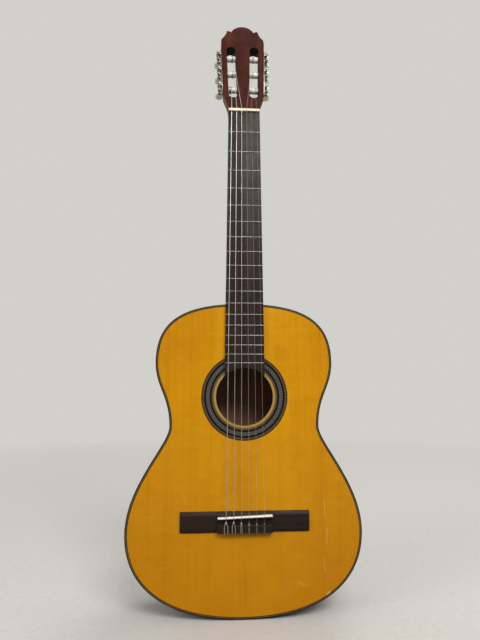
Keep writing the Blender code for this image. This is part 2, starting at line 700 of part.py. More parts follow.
def build_fingerboard():
    """The board with its frets; its low end follows the soundhole's edge."""
    end_angle = math.asin(board_half(SOUNDHOLE_Z + 32.0) / SOUNDHOLE_R)
    loop = [(-FINGERBOARD_HALF_NUT, NUT_EDGE_Z), (FINGERBOARD_HALF_NUT, NUT_EDGE_Z)]
    for i in range(17):
        angle = end_angle * (1.0 - i / 8.0)
        loop.append((SOUNDHOLE_R * math.sin(angle), SOUNDHOLE_Z + SOUNDHOLE_R * math.cos(angle)))
    fingerboard = slab("fretted_fingerboard", [loop], -FINGERBOARD_T, -GLUE_GAP)
    for number in range(1, FRET_COUNT + 1):
        z = fret_z(number)
        half = board_half(z) - FRET_END_INSET
        wire = rod("fret_wire", (-half, FRET_AXIS_Y, z), (half, FRET_AXIS_Y, z), FRET_R, 8)
        combine(fingerboard, wire, "UNION")
    tidy(fingerboard)
    finish(fingerboard, BOARD_WOOD)


def build_nut():
    nut = box("nut", (-FINGERBOARD_HALF_NUT, -NUT_TOP, NUT_EDGE_Z + GLUE_GAP),
              (FINGERBOARD_HALF_NUT, -GLUE_GAP, NUT_BACK_Z))
    for number, spec in STRINGS.items():
        x = string_x(number, STRING_SPREAD_NUT)
        half = spec.diameter / 2.0 + NUT_SLOT_CLEARANCE
        notch = box("nut_slot_cutter", (x - half, -NUT_TOP - 2.0, NUT_EDGE_Z - 2.0),
                    (x + half, -NUT_FLOOR, NUT_BACK_Z + 2.0), cutters)
        combine(nut, notch, "DIFFERENCE")
    tidy(nut)
    finish(nut, BONE)


# ---------------------------------------------------------------- head and machine frames
HEAD = (Matrix.Translation((0.0, HEAD_FACE_Y * MM, NUT_BACK_Z * MM))
        @ Matrix.Rotation(math.radians(-HEAD_TILT), 4, "X"))
SIDE_ANGLE = math.atan2(HEAD_TOP_HALF - HEAD_LOW_HALF, HEAD_TOP_UP - HEAD_LOW_UP)


def head_half(up):
    slope = (HEAD_TOP_HALF - HEAD_LOW_HALF) * (up - HEAD_LOW_UP) / (HEAD_TOP_UP - HEAD_LOW_UP)
    return HEAD_LOW_HALF + slope


def machine_frame(sign):
    """On the head's side face at the middle roller: x to treble, y into the head, z up it."""
    place = Matrix.Translation((sign * head_half(MACHINE_UP) * MM, 0.0, MACHINE_UP * MM))
    return HEAD @ place @ Matrix.Rotation(sign * SIDE_ANGLE, 4, "Y")


MACHINE = {sign: machine_frame(sign) for side, sign in SIDES}

# ---------------------------------------------------------------- neck with heel and slotted head
SHAFT_HOLE_R = 2.5
PIVOT_HOLE_R = 3.4
PIVOT_HOLE_START, PIVOT_HOLE_END = SLOT_IN - 3.0, SLOT_IN + 7.4   # in from the side face

# neck's end under the head: height above NECK_END_Z, half width, depth
NECK_END_Z = NUT_BACK_Z - 0.5
NECK_END_STATIONS = ((0.0, 26.0, 20.9), (9.0, 25.6, 20.8), (18.0, 24.5, 21.2), (26.0, 22.5, 21.6))

# level outlines of the heel: y, half width, length above the body joint
HEEL_LEVELS = (
    (8.0, 29.4, 108.0), (15.0, 29.0, 88.0), (22.0, 27.6, 68.0),
    (30.0, 25.6, 52.0), (40.0, 22.8, 40.0), (52.0, 19.8, 31.5),
    (66.0, 17.0, 25.5), (80.0, 14.8, 22.0), (HEEL_END_Y, HEEL_END_HALF, HEEL_END_L),
)

# treble side of the head's outline above its foot, (x, up), to below the corner's round
HEAD_SIDE = [
    (26.3, 5.0), (27.6, 12.0), (30.0, 20.0), (32.8, 28.0), (HEAD_LOW_HALF, HEAD_LOW_UP),
    (HEAD_TOP_HALF, HEAD_TOP_UP), (38.2, 148.0), (37.9, 154.0), (36.6, 158.5),
    (31.0, 166.5), (28.6, 172.2),
]
CORNER_X, CORNER_UP, CORNER_R = 25.4, 174.0, 3.0
CORNER_START, CORNER_SWEEP = -10.0, 130.0       # degrees
DOME_HALF, DOME_LOW_UP = 20.0, 174.5


def loft(name, sections, coll=guitar):
    """A closed solid through rings of points (mm), all with the same count, with flat ends."""
    edit = bmesh.new()
    rings = [[edit.verts.new(Vector(point) * MM) for point in section] for section in sections]
    for low, high in zip(rings, rings[1:]):
        for i in range(len(low)):
            j = (i + 1) % len(low)
            edit.faces.new((low[i], low[j], high[j], high[i]))
    edit.faces.new(rings[0][::-1])
    edit.faces.new(rings[-1])
    face_outwards(edit)
    return mesh_object(name, edit, coll)


def neck_section(z, half, top, bottom):
    """A flat-topped D, with the flat towards the fingerboard."""
    edge = top + 2.5
    points = [(-half, top, z), (half, top, z)]
    for i in range(15):
        angle = math.pi * i / 14
        y = edge + (bottom - edge) * math.sin(angle) ** 0.85
        points.append((half * math.cos(angle), y, z))
    return points


def heel_arc(half, length):
    """(x, z) points of one level outline of the heel."""
    points = []
    for i in range(15):
        angle = math.pi * i / 14.0
        z = BODY_LENGTH + JOINT_GAP + (length - JOINT_GAP) * math.sin(angle) ** 0.9
        points.append((half * math.cos(angle), z))
    return points


def head_loop(low_up):
    """Outline of the head: flared from the nut, slightly widening sides, a central dome."""
    dome_h = HEAD_PEAK_UP - DOME_LOW_UP
    dome_r = (DOME_HALF ** 2 + dome_h ** 2) / (2.0 * dome_h)
    dome_centre = HEAD_PEAK_UP - dome_r
    dome_angle = math.asin(DOME_HALF / dome_r)
    half = [(26.0, low_up)] + HEAD_SIDE
    for i in range(5):
        angle = math.radians(CORNER_START + CORNER_SWEEP * i / 4.0)
        half.append((CORNER_X + CORNER_R * math.cos(angle),
                     CORNER_UP + CORNER_R * math.sin(angle)))
    for i in range(8):
        angle = dome_angle * (1.0 - i / 8.0)
        half.append((dome_r * math.sin(angle), dome_centre + dome_r * math.cos(angle)))
    return half + [(0.0, HEAD_PEAK_UP)] + mirrored(half[::-1])


def neck_shaft():
    stations = []
    low_z = BODY_LENGTH + JOINT_GAP
    for i in range(5):
        z = low_z + (NUT_EDGE_Z - 6.0 - low_z) * i / 4.0
        depth = NECK_DEPTH_NUT + (NECK_DEPTH_HEEL - NECK_DEPTH_NUT) * towards_joint(z)
        stations.append(neck_section(z, board_half(z), 0.0, depth))
    tilt = math.tan(math.radians(HEAD_TILT))
    for rise, half, bottom in NECK_END_STATIONS:
        top = 0.0 if rise == 0.0 else rise * tilt + 1.0
        stations.append(neck_section(NECK_END_Z + rise, half, top, bottom))
    return loft("neck", stations)


def cut_string_slot(target, sign):
    """One through slot with half round ends."""
    centre = -sign * (SLOT_OUT + SLOT_IN) / 2.0
    radius = (SLOT_IN - SLOT_OUT) / 2.0
    loop = []
    for start, middle_z in ((0.0, SLOT_TOP_Z - radius), (math.pi, SLOT_LOW_Z + radius)):
        for i in range(7):
            angle = start + math.pi * i / 6.0
            loop.append((centre + radius * math.cos(angle), middle_z + radius * math.sin(angle)))
    cutter = slab("slot_cutter", [loop], -5.0, 40.0, cutters, MACHINE[sign])
    combine(target, cutter, "DIFFERENCE")


def drill_head(neck, sign):
    """Shaft holes across to each slot, and wider pivot holes in the wood inside it."""
    for step in ROLLER_STEPS:
        z = step * ROLLER_PITCH
        for start, end, radius in ((5.0, -PIVOT_HOLE_START, SHAFT_HOLE_R),
                                   (-PIVOT_HOLE_START, -PIVOT_HOLE_END, PIVOT_HOLE_R)):
            drill = rod("roller_hole_cutter", (sign * start, ROLLER_DEPTH, z),
                        (sign * end, ROLLER_DEPTH, z), radius, 8, MACHINE[sign])
            combine(neck, drill, "DIFFERENCE")


def build_neck():
    neck = neck_shaft()
    sections = [[(x, y, z) for x, z in heel_arc(half, length)] for y, half, length in HEEL_LEVELS]
    combine(neck, loft("heel", sections, cutters), "UNION")
    tenon = box("tenon", (-TENON_HALF, TENON_FRONT_Y, BODY_LENGTH - TENON_L),
                (TENON_HALF, TENON_BACK_Y, BODY_LENGTH + 4.0), cutters)
    combine(neck, tenon, "UNION")
    head = slab("head", [head_loop(0.25)], FACEPLATE_T + GLUE_GAP, HEAD_T, cutters, HEAD)
    combine(neck, head, "UNION")
    for side, sign in SIDES:
        cut_string_slot(neck, sign)
        drill_head(neck, sign)
    tidy(neck)
    finish(neck, NECK_WOOD, 32)


def build_faceplate():
    faceplate = slab("headstock_faceplate", [head_loop(0.55)], 0.0, FACEPLATE_T, frame=HEAD)
    for side, sign in SIDES:
        cut_string_slot(faceplate, sign)
    tidy(faceplate)
    finish(faceplate, FACE_WOOD)


def build_heel_cap():
    heel_cap = slab("heel_cap", [heel_arc(HEEL_END_HALF, HEEL_END_L)],
                    HEEL_END_Y + GLUE_GAP, back_y(BODY_LENGTH + 20.0))
    finish(heel_cap, BINDING)


# ---------------------------------------------------------------- machine side plates
WORM_BORE_R = 1.75


def plate_loop():
    """Side plate's outline in y (across) and z (along), with rounded, stepped ends."""
    middle = (PLATE_FRONT_Y + PLATE_BACK_Y) / 2.0
    half = (PLATE_BACK_Y - PLATE_FRONT_Y) / 2.0
    loop = []
    for turn, end_z in ((1, PLATE_TOP_Z), (-1, PLATE_LOW_Z)):
        # (across, back from the end): a shoulder each side of the rounded tip
        outline = [(half, 9.0), (half - 1.6, 6.0)]
        for i in range(5):
            angle = math.pi * i / 4.0
            outline.append(((half - 2.2) * math.cos(angle), 4.3 - 4.3 * math.sin(angle)))
        outline += [(-half + 1.6, 6.0), (-half, 9.0)]
        loop += [(middle + turn * across, end_z - turn * back) for across, back in outline]
    return loop


def add_worm_lugs(plate, sign, worm_z):
    """The two lugs that carry one worm."""
    root_x = sign * 0.7
    loop = [(root_x, worm_z - LUG_R)]
    for i in range(5):
        angle = math.pi * i / 4.0
        loop.append((sign * (WORM_OUT + LUG_R * math.sin(angle)),
                     worm_z - LUG_R * math.cos(angle)))
    loop.append((root_x, worm_z + LUG_R))
    for y0, y1 in LUG_SPANS_Y:
        combine(plate, slab("lug", [loop], y0, y1, cutters, MACHINE[sign]), "UNION")


def build_tuner_plate(side, sign):
    x0, x1 = sorted((sign * GLUE_GAP, sign * (GLUE_GAP + PLATE_T)))
    plate = profile_bar("tuner_plate_" + side, plate_loop(), x0, x1, MACHINE[sign])
    for step in ROLLER_STEPS:
        roller_z = step * ROLLER_PITCH
        worm_z = roller_z + CENTRE_DISTANCE
        add_worm_lugs(plate, sign, worm_z)
        bore = rod("worm_bore_cutter", (sign * WORM_OUT, -5.0, worm_z),
                   (sign * WORM_OUT, 25.0, worm_z), WORM_BORE_R, 8, MACHINE[sign])
        combine(plate, bore, "DIFFERENCE")
        bore = rod("shaft_bore_cutter", (-sign * 5.0, ROLLER_DEPTH, roller_z),
                   (sign * 3.0, ROLLER_DEPTH, roller_z), SHAFT_HOLE_R, 8, MACHINE[sign])
        combine(plate, bore, "DIFFERENCE")
    tidy(plate)
    finish(plate, NICKEL, 30)


# ---------------------------------------------------------------- machine parts, as models
# (radius, height) of the worm's shaft, heights from the faceplate's face towards the rear
WORM_PROFILE = [
    (0.0, 28.6), (1.35, 28.6), (1.35, 20.6), (2.1, 20.3), (2.1, 16.7),
    (1.45, 16.6), (1.45, 14.6), (WORM_ROOT_R, 14.5), (WORM_ROOT_R, 4.5), (1.45, 4.4),
    (1.45, 2.4), (1.9, 2.2), (1.9, 1.4), (1.2, 0.8), (0.0, 0.8),
]
THREAD_STEPS = 20
THREAD_OVERLAP = 0.25         # thread sunk into the shaft
# button: a short conical collar and a flattened ball
COLLAR_LOW, COLLAR_HIGH, COLLAR_LOW_R, COLLAR_HIGH_R = 20.9, 26.5, 2.6, 3.0
PADDLE_RADII, PADDLE_HEIGHT = (7.5, 3.4, 8.6), 32.4
BUTTON_BORE_R, BUTTON_BORE_TOP = 1.55, 28.9
SQUARE_HALF, SQUARE_HOLE_HALF = 1.33, 1.4       # roller's square end and the gear's hole for it


def worm_model():
    start = ROLLER_DEPTH - WORM_TURNS / 2.0 * WORM_LEAD
    thread_root_r = WORM_ROOT_R - THREAD_OVERLAP
    thread_root_half = WORM_ROOT_W / 2 + 0.05
    profile = [
        (thread_root_r, start - thread_root_half), (WORM_TIP_R, start - WORM_TIP_W / 2),
        (WORM_TIP_R, start + WORM_TIP_W / 2), (thread_root_r, start + thread_root_half),
    ]
    thread = swept("worm_thread", profile, THREAD_STEPS, WORM_TURNS, WORM_LEAD, closed=True)
    model = swept("worm_model", WORM_PROFILE, 8)
    combine(model, thread, "UNION")
    tidy(model)
    return model


def button_model():
    model = rod("button_model", (0, 0, COLLAR_LOW), (0, 0, COLLAR_HIGH), COLLAR_LOW_R, 8,
                end_radius=COLLAR_HIGH_R)
    edit = bmesh.new()
    bmesh.ops.create_uvsphere(edit, u_segments=10, v_segments=7, radius=1.0)
    bmesh.ops.scale(edit, vec=[radius * MM for radius in PADDLE_RADII], verts=edit.verts)
    bmesh.ops.translate(edit, vec=(0.0, 0.0, PADDLE_HEIGHT * MM), verts=edit.verts)
    combine(model, mesh_object("paddle", edit, cutters), "UNION")
    bore = rod("button_bore_cutter", (0, 0, 15.0), (0, 0, BUTTON_BORE_TOP), BUTTON_BORE_R, 8)
    combine(model, bore, "DIFFERENCE")
    tidy(model)
    return model


def gear_model():
    """The gear round X: slanted teeth, a space between two of them centred on the worm."""
    profile = []
    for tooth in range(GEAR_TEETH):
        middle = math.pi / 2.0 + (tooth + 0.5) * 2.0 * math.pi / GEAR_TEETH
        for radius, width, edge in (
                (GEAR_ROOT_R, GEAR_ROOT_W, -1), (GEAR_TIP_R, GEAR_TIP_W, -1),
                (GEAR_TIP_R, GEAR_TIP_W, 1), (GEAR_ROOT_R, GEAR_ROOT_W, 1)):
            angle = middle + edge * width / 2.0 / radius
            profile.append((radius * math.cos(angle), radius * math.sin(angle)))
    lead_slope = WORM_LEAD / (2.0 * math.pi * WORM_PITCH_R)
    twist = lead_slope * GEAR_T / GEAR_PITCH_R
    edit = bmesh.new()
    base = edit.faces.new([edit.verts.new((-GEAR_T / 2 * MM, y * MM, z * MM))
                           for y, z in profile])
    grown = bmesh.ops.extrude_face_region(edit, geom=[base])
    far = [item for item in grown["geom"] if isinstance(item, bmesh.types.BMVert)]
    near = [vert for vert in edit.verts if vert not in far]
    bmesh.ops.translate(edit, vec=(GEAR_T * MM, 0.0, 0.0), verts=far)
    for verts, turn in ((far, twist / 2.0), (near, -twist / 2.0)):
        bmesh.ops.rotate(edit, cent=(0, 0, 0), matrix=Matrix.Rotation(turn, 3, "X"), verts=verts)
    face_outwards(edit)
    model = mesh_object("gear_model", edit, cutters)
    half = SQUARE_HOLE_HALF
    hole = box("gear_square_cutter", (-5, -half, -half), (5, half, half), cutters)
    combine(model, hole, "DIFFERENCE")
    return model


def roller_model():
    """The roller with its axis along Z and the gear's square end up."""
    inner_wall, outer_wall = -SLOT_IN, -SLOT_OUT
    shaft_end = WORM_OUT - GEAR_T / 2 - 0.1
    # (radius, height), from the gear end to the pivot
    profile = [
        (0.0, shaft_end), (2.1, shaft_end), (2.1, outer_wall - 0.9),
        (3.4, outer_wall - 0.3), (ROLLER_R, outer_wall - 0.3), (ROLLER_R, inner_wall + 0.3),
        (3.05, inner_wall + 0.2), (3.05, inner_wall - 7.0), (0.0, inner_wall - 7.0),
    ]
    model = swept("roller_model", profile, 14)
    square = box("gear_square", (-SQUARE_HALF, -SQUARE_HALF, WORM_OUT - 3.0),
                 (SQUARE_HALF, SQUARE_HALF, WORM_OUT + GEAR_T / 2), cutters)
    combine(model, square, "UNION")
    tidy(model)
    return model


# ---------------------------------------------------------------- machines in place
AXIS_TO_Y = Matrix.Rotation(math.radians(-90.0), 4, "X")    # model's Z to the machine's Y


def side_sign(number):
    """Strings 1 to 3 are on the treble side of the head, 4 to 6 on the bass side."""
    return 1 if number <= 3 else -1


def add_empty(name, matrix, parent=None):
    empty = bpy.data.objects.new(name, None)
    guitar.objects.link(empty)
    empty.parent = parent
    empty.matrix_world = matrix
    return empty


def place_copy(model, name, surface, turn, parent, smooth_angle):
    """A copy of a model, turned into its parent axis's frame."""
    obj = bpy.data.objects.new(name, model.data.copy())
    guitar.objects.link(obj)
    obj.parent = parent
    obj.matrix_world = parent.matrix_world @ turn
    finish(obj, surface, smooth_angle)


def build_machines():
    """One roller, gear, worm and button per string, numbered as the strings are."""
    roller, gear, worm, button = roller_model(), gear_model(), worm_model(), button_model()
    frames = {sign: add_empty("machine_frame_" + side, MACHINE[sign]) for side, sign in SIDES}
    for number, spec in STRINGS.items():
        sign = side_sign(number)
        roller_z = spec.roller_step * ROLLER_PITCH
        worm_z = roller_z + CENTRE_DISTANCE
        roller_place = Matrix.Translation((0.0, ROLLER_DEPTH * MM, roller_z * MM))
        worm_place = Matrix.Translation((sign * WORM_OUT * MM, 0.0, worm_z * MM))
        roller_axis = add_empty(f"roller_axis_{number}", MACHINE[sign] @ roller_place,
                                frames[sign])
        worm_axis = add_empty(f"worm_axis_{number}", MACHINE[sign] @ worm_place, frames[sign])
        bpy.context.view_layer.update()
        axis_out = Matrix.Rotation(math.radians(sign * 90.0), 4, "Y")
        gear_out = Matrix.Translation((sign * WORM_OUT * MM, 0, 0))
        place_copy(roller, f"string_roller_{number}", NYLON, axis_out, roller_axis, 30)
        place_copy(gear, f"worm_gear_{number}", BRASS, gear_out, roller_axis, None)
        place_copy(worm, f"worm_shaft_{number}", STEEL, AXIS_TO_Y, worm_axis, 30)
        place_copy(button, f"tuner_button_{number}", PEARL, AXIS_TO_Y, worm_axis, 50)
    for model in (roller, gear, worm, button):
        bpy.data.objects.remove(model, do_unlink=True)


# ---------------------------------------------------------------- strings
def straight_run(number, radius):
    """From the tie hole over the saddle to the back edge of the nut (mm)."""
    saddle_x = string_x(number, STRING_SPREAD_SADDLE)
    nut_x = string_x(number, STRING_SPREAD_NUT)
    saddle_z = SADDLE_Z + saddle_x * math.sin(math.radians(SADDLE_SLANT))
    over_saddle = -SADDLE_TOP - radius - STRING_CLEARANCE
    over_nut = -NUT_FLOOR - radius - STRING_CLEARANCE
    return [
        (saddle_x, -TIE_HOLE_H, BRIDGE_LOW_Z - 0.8), (saddle_x, -TIE_HOLE_H, BRIDGE_LOW_Z + 13.4),
        (saddle_x, over_saddle, saddle_z - 1.4), (saddle_x, over_saddle, saddle_z + 0.9),
        (nut_x, over_nut, NUT_EDGE_Z - 0.3), (nut_x, over_nut, NUT_BACK_Z + 0.4),
    ]


def string_points(number, radius):
    """The whole string, from the tie block down to the roller and round it (metres)."""
    points = [Vector(point) * MM for point in straight_run(number, radius)]
    sign = side_sign(number)
    machine = MACHINE[sign]
    start = (machine.inverted() @ points[-1]) / MM
    step = STRINGS[number].roller_step
    roller_z = step * ROLLER_PITCH
    wrap_r = (ROLLER_R + radius + 0.08) / math.cos(math.pi / WRAP_STEPS)  # chords clear the barrel
    offset_y, offset_z = start.y - ROLLER_DEPTH, start.z - roller_z
    distance = math.hypot(offset_y, offset_z)
    tangent = math.atan2(offset_y, offset_z) + math.acos(wrap_r / distance)
    contact_x = sign * (STRING_ROLLER_X[step] - head_half(MACHINE_UP + roller_z))
    wrap_pitch = (2.0 * radius + 0.15) * sign
    for i in range(int(round(WRAP_STEPS * STRING_WRAPS)) + 1):
        turns = i / WRAP_STEPS
        angle = tangent + 2.0 * math.pi * turns
        point = Vector((contact_x + wrap_pitch * turns, ROLLER_DEPTH + wrap_r * math.sin(angle),
                        roller_z + wrap_r * math.cos(angle)))
        points.append(machine @ (point * MM))
    return points


def build_string(number):
    radius = STRINGS[number].diameter / 2.0
    name = f"string_path_{number}"
    curve = bpy.data.curves.new(name, "CURVE")
    curve.dimensions = "3D"
    curve.bevel_depth = radius * MM
    curve.bevel_resolution = 1
    curve.use_fill_caps = True
    curve.resolution_u = 1
    add_poly_spline(curve, string_points(number, radius))
    path = bpy.data.objects.new(name, curve)
    guitar.objects.link(path)
    string = welded(path, f"string_{number}")
    finish(string, CLEAR if number <= 3 else WOUND, 60)


# ---------------------------------------------------------------- the whole guitar
build_soundboard()
build_rosette()
build_back_plate()
build_bindings()
for side_name, x_sign in SIDES:
    build_rib(side_name, x_sign)
    build_linings(side_name, x_sign)
build_heel_block()
build_tail_block()
build_braces()
build_bridge()
build_saddle()
build_fingerboard()
build_nut()
build_neck()
build_faceplate()
build_heel_cap()
for side_name, x_sign in SIDES:
    build_tuner_plate(side_name, x_sign)
build_machines()
for string_number in STRINGS:
    build_string(string_number)

# to the origin under the tail; children follow their parents
for piece in guitar.objects:
    if piece.parent is None:
        piece.location.y -= CENTRE_DEPTH * MM
bpy.context.view_layer.update()
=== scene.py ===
"""Classical guitar: visible pieces, finishes, studio and camera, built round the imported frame.

Shapes are laid out in millimetres: the soundboard's face at y = 0 with the back towards +Y, the
tail at z = 0, the neck along +Z and the treble side at +X. SHIFT moves that layout onto the frame.
"""
import math

import bmesh
import bpy
from mathutils import Matrix, Vector
from mathutils.geometry import tessellate_polygon


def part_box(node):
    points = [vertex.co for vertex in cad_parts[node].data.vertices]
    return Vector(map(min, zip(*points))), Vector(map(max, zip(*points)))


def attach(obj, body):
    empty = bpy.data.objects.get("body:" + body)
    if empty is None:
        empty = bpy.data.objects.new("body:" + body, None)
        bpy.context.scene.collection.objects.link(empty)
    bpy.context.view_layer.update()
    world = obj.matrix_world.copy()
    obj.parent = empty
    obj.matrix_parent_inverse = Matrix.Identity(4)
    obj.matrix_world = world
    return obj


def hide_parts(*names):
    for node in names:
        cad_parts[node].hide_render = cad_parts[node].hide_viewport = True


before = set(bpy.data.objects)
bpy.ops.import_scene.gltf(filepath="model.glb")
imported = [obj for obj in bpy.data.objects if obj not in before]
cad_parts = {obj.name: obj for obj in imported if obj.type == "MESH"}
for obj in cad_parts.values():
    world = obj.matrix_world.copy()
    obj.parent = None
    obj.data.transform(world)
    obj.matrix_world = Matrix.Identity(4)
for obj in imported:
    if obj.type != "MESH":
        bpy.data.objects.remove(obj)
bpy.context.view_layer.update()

# ------------------------------------------------------------------ driving dimensions (mm)
MM = 0.001


def mm(*lengths):
    """Millimetres to metres."""
    return tuple(length * MM for length in lengths)


def moved(x, y, z):
    return Matrix.Translation(mm(x, y, z))


def turned(degrees, axis):
    return Matrix.Rotation(math.radians(degrees), 4, axis)


SOUNDBOARD_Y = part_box("soundboard")[0].y / MM
SHIFT = moved(0.0, SOUNDBOARD_Y, 0.0)

BODY_LENGTH = 478.0
SCALE_LENGTH = 650.0
HALF_SCALE = SCALE_LENGTH / 2.0
NUT_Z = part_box("nut")[0].z / MM
NUT_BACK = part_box("nut")[1].z / MM
NUT_EDGE = NUT_Z - 0.05             # end of the fingerboard
NUT_SLOT_Y = -8.4                   # floor of the nut's slots
HOLE_Z, HOLE_RADIUS = 330.0, 45.0
TOP_THICKNESS = 2.5
BINDING_WIDTH, BINDING_HEIGHT, BINDING_ROUND = 2.2, 6.0, 1.3
RIB_THICKNESS = 2.2

BRIDGE_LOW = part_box("bridge")[0].z / MM
BRIDGE_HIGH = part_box("bridge")[1].z / MM
TIE_TOP_Y = -9.8                    # top of the tie block
TIE_HOLE_Y = -5.4                   # axis of the string holes in it
TIE_MOUTH_Z = 139.4                 # where a string leaves its hole
SADDLE_Z = NUT_EDGE - SCALE_LENGTH - 2.9
SADDLE_TOP, SADDLE_SLANT = 12.4, 1.95    # height over the soundboard; degrees
SADDLE_HALF = 1.5                   # half its thickness
SADDLE_SPREAD, NUT_SPREAD = 58.0, 42.0   # across the outer strings

BOARD_TOP_Y = -6.5
FRET_COUNT = 18
HEAD_TILT = 12.5                    # degrees
NECK_ROUND_POINTS = 72              # steps round the neck's back

# machines: each side has a frame on the head's edge with its own z along that edge
SIDE_ANGLE = math.atan2(3.0, 105.0)
MACHINE_Z, POST_PITCH, ROLLER_DEPTH, ROLLER_RADIUS = 84.5, 35.0, 9.5, 5.0
WORM_OUT, WORM_OFFSET = 5.4, 9.75   # worm axis from the head's edge, and from its post
GEAR_TEETH = 14
WORM_LEAD = 2.0 * math.pi * 6.5 / GEAR_TEETH

STRING_DIAMETER = {1: 0.71, 2: 0.82, 3: 1.02, 4: 0.76, 5: 0.91, 6: 1.12}
POST_ROW = {6: 0, 5: 1, 4: 2, 1: 0, 2: 1, 3: 2}     # string: post, counted from the nut
WRAP_X = {0: 20.0, 1: 16.0, 2: 17.0}                # post: where its string meets the roller


def back_y(z):
    """Depth of the back's outer face."""
    return 100.0 - 6.0 * z / BODY_LENGTH


def head_half(z):
    """Half width of the head, z in the head's frame."""
    return 35.0 + 3.0 * (z - 36.0) / 105.0


def board_half(z):
    return 26.0 + 4.0 * (NUT_EDGE - z) / HALF_SCALE


def shaft_depth(z):
    return 21.0 + 2.0 * (NUT_EDGE - z) / HALF_SCALE


def string_x(number, spread):
    return spread * (0.5 - (number - 1) / 5.0)


def string_side(number):
    """1 for the treble machines, -1 for the bass ones."""
    return 1 if number <= 3 else -1


HEAD = moved(0.0, -2.0, NUT_BACK) @ turned(-HEAD_TILT, "X")
MACHINE = {side: HEAD @ moved(side * head_half(MACHINE_Z), 0.0, MACHINE_Z)
           @ Matrix.Rotation(side * SIDE_ANGLE, 4, "Y") for side in (1, -1)}
HEAD_WORLD = SHIFT @ HEAD
MACHINE_WORLD = {side: SHIFT @ MACHINE[side] for side in (1, -1)}
SIDES = ((1, "treble"), (-1, "bass"))


# ------------------------------------------------------------------ shader graphs
class Field:
    """A shader output that takes + - * / and abs as a number does."""

    def __init__(self, graph, socket):
        self.graph = graph
        self.socket = socket

    def __add__(self, other):
        return self.graph.math("ADD", self, other)

    def __sub__(self, other):
        return self.graph.math("SUBTRACT", self, other)

    def __mul__(self, other):
        return self.graph.math("MULTIPLY", self, other)

    def __truediv__(self, other):
        return self.graph.math("DIVIDE", self, other)

    def __abs__(self):
        return self.graph.math("ABSOLUTE", self)

    def output(self, key):
        """Another output of the same node."""
        return Field(self.graph, self.socket.node.outputs[key])

    def span(self, over, to=(0.0, 1.0)):
        """Map the range `over` onto the range `to`, clamped."""
        return self.graph.field("ShaderNodeMapRange", "Result", {
            "Value": self, "From Min": over[0], "From Max": over[1],
            "To Min": to[0], "To Max": to[1]})


class Graph:
    """Short ways to add nodes to a node tree."""

    def __init__(self, tree):
        self.tree = tree

    def plug(self, target, value):
        if isinstance(value, Field):
            self.tree.links.new(value.socket, target)
        elif isinstance(value, tuple) and len(value) == 3 and target.type == "RGBA":
            target.default_value = (*value, 1.0)
        else:
            target.default_value = value

    def field(self, kind, output, inputs=None, **attributes):
        """Add a node and return one of its outputs."""
        node = self.tree.nodes.new(kind)
        for key, value in attributes.items():
            setattr(node, key, value)
        for key, value in (inputs or {}).items():
            self.plug(node.inputs[key], value)
        return Field(self, node.outputs[output])

    def math(self, operation, first, second=0.0, third=None, clamp=False):
        inputs = {0: first, 1: second}
        if third is not None:
            inputs[2] = third
        return self.field("ShaderNodeMath", 0, inputs, operation=operation, use_clamp=clamp)

    def split(self, vector):
        first = self.field("ShaderNodeSeparateXYZ", 0, {0: vector})
        return first, first.output(1), first.output(2)

    def join(self, x, y, z):
        return self.field("ShaderNodeCombineXYZ", 0, {0: x, 1: y, 2: z})


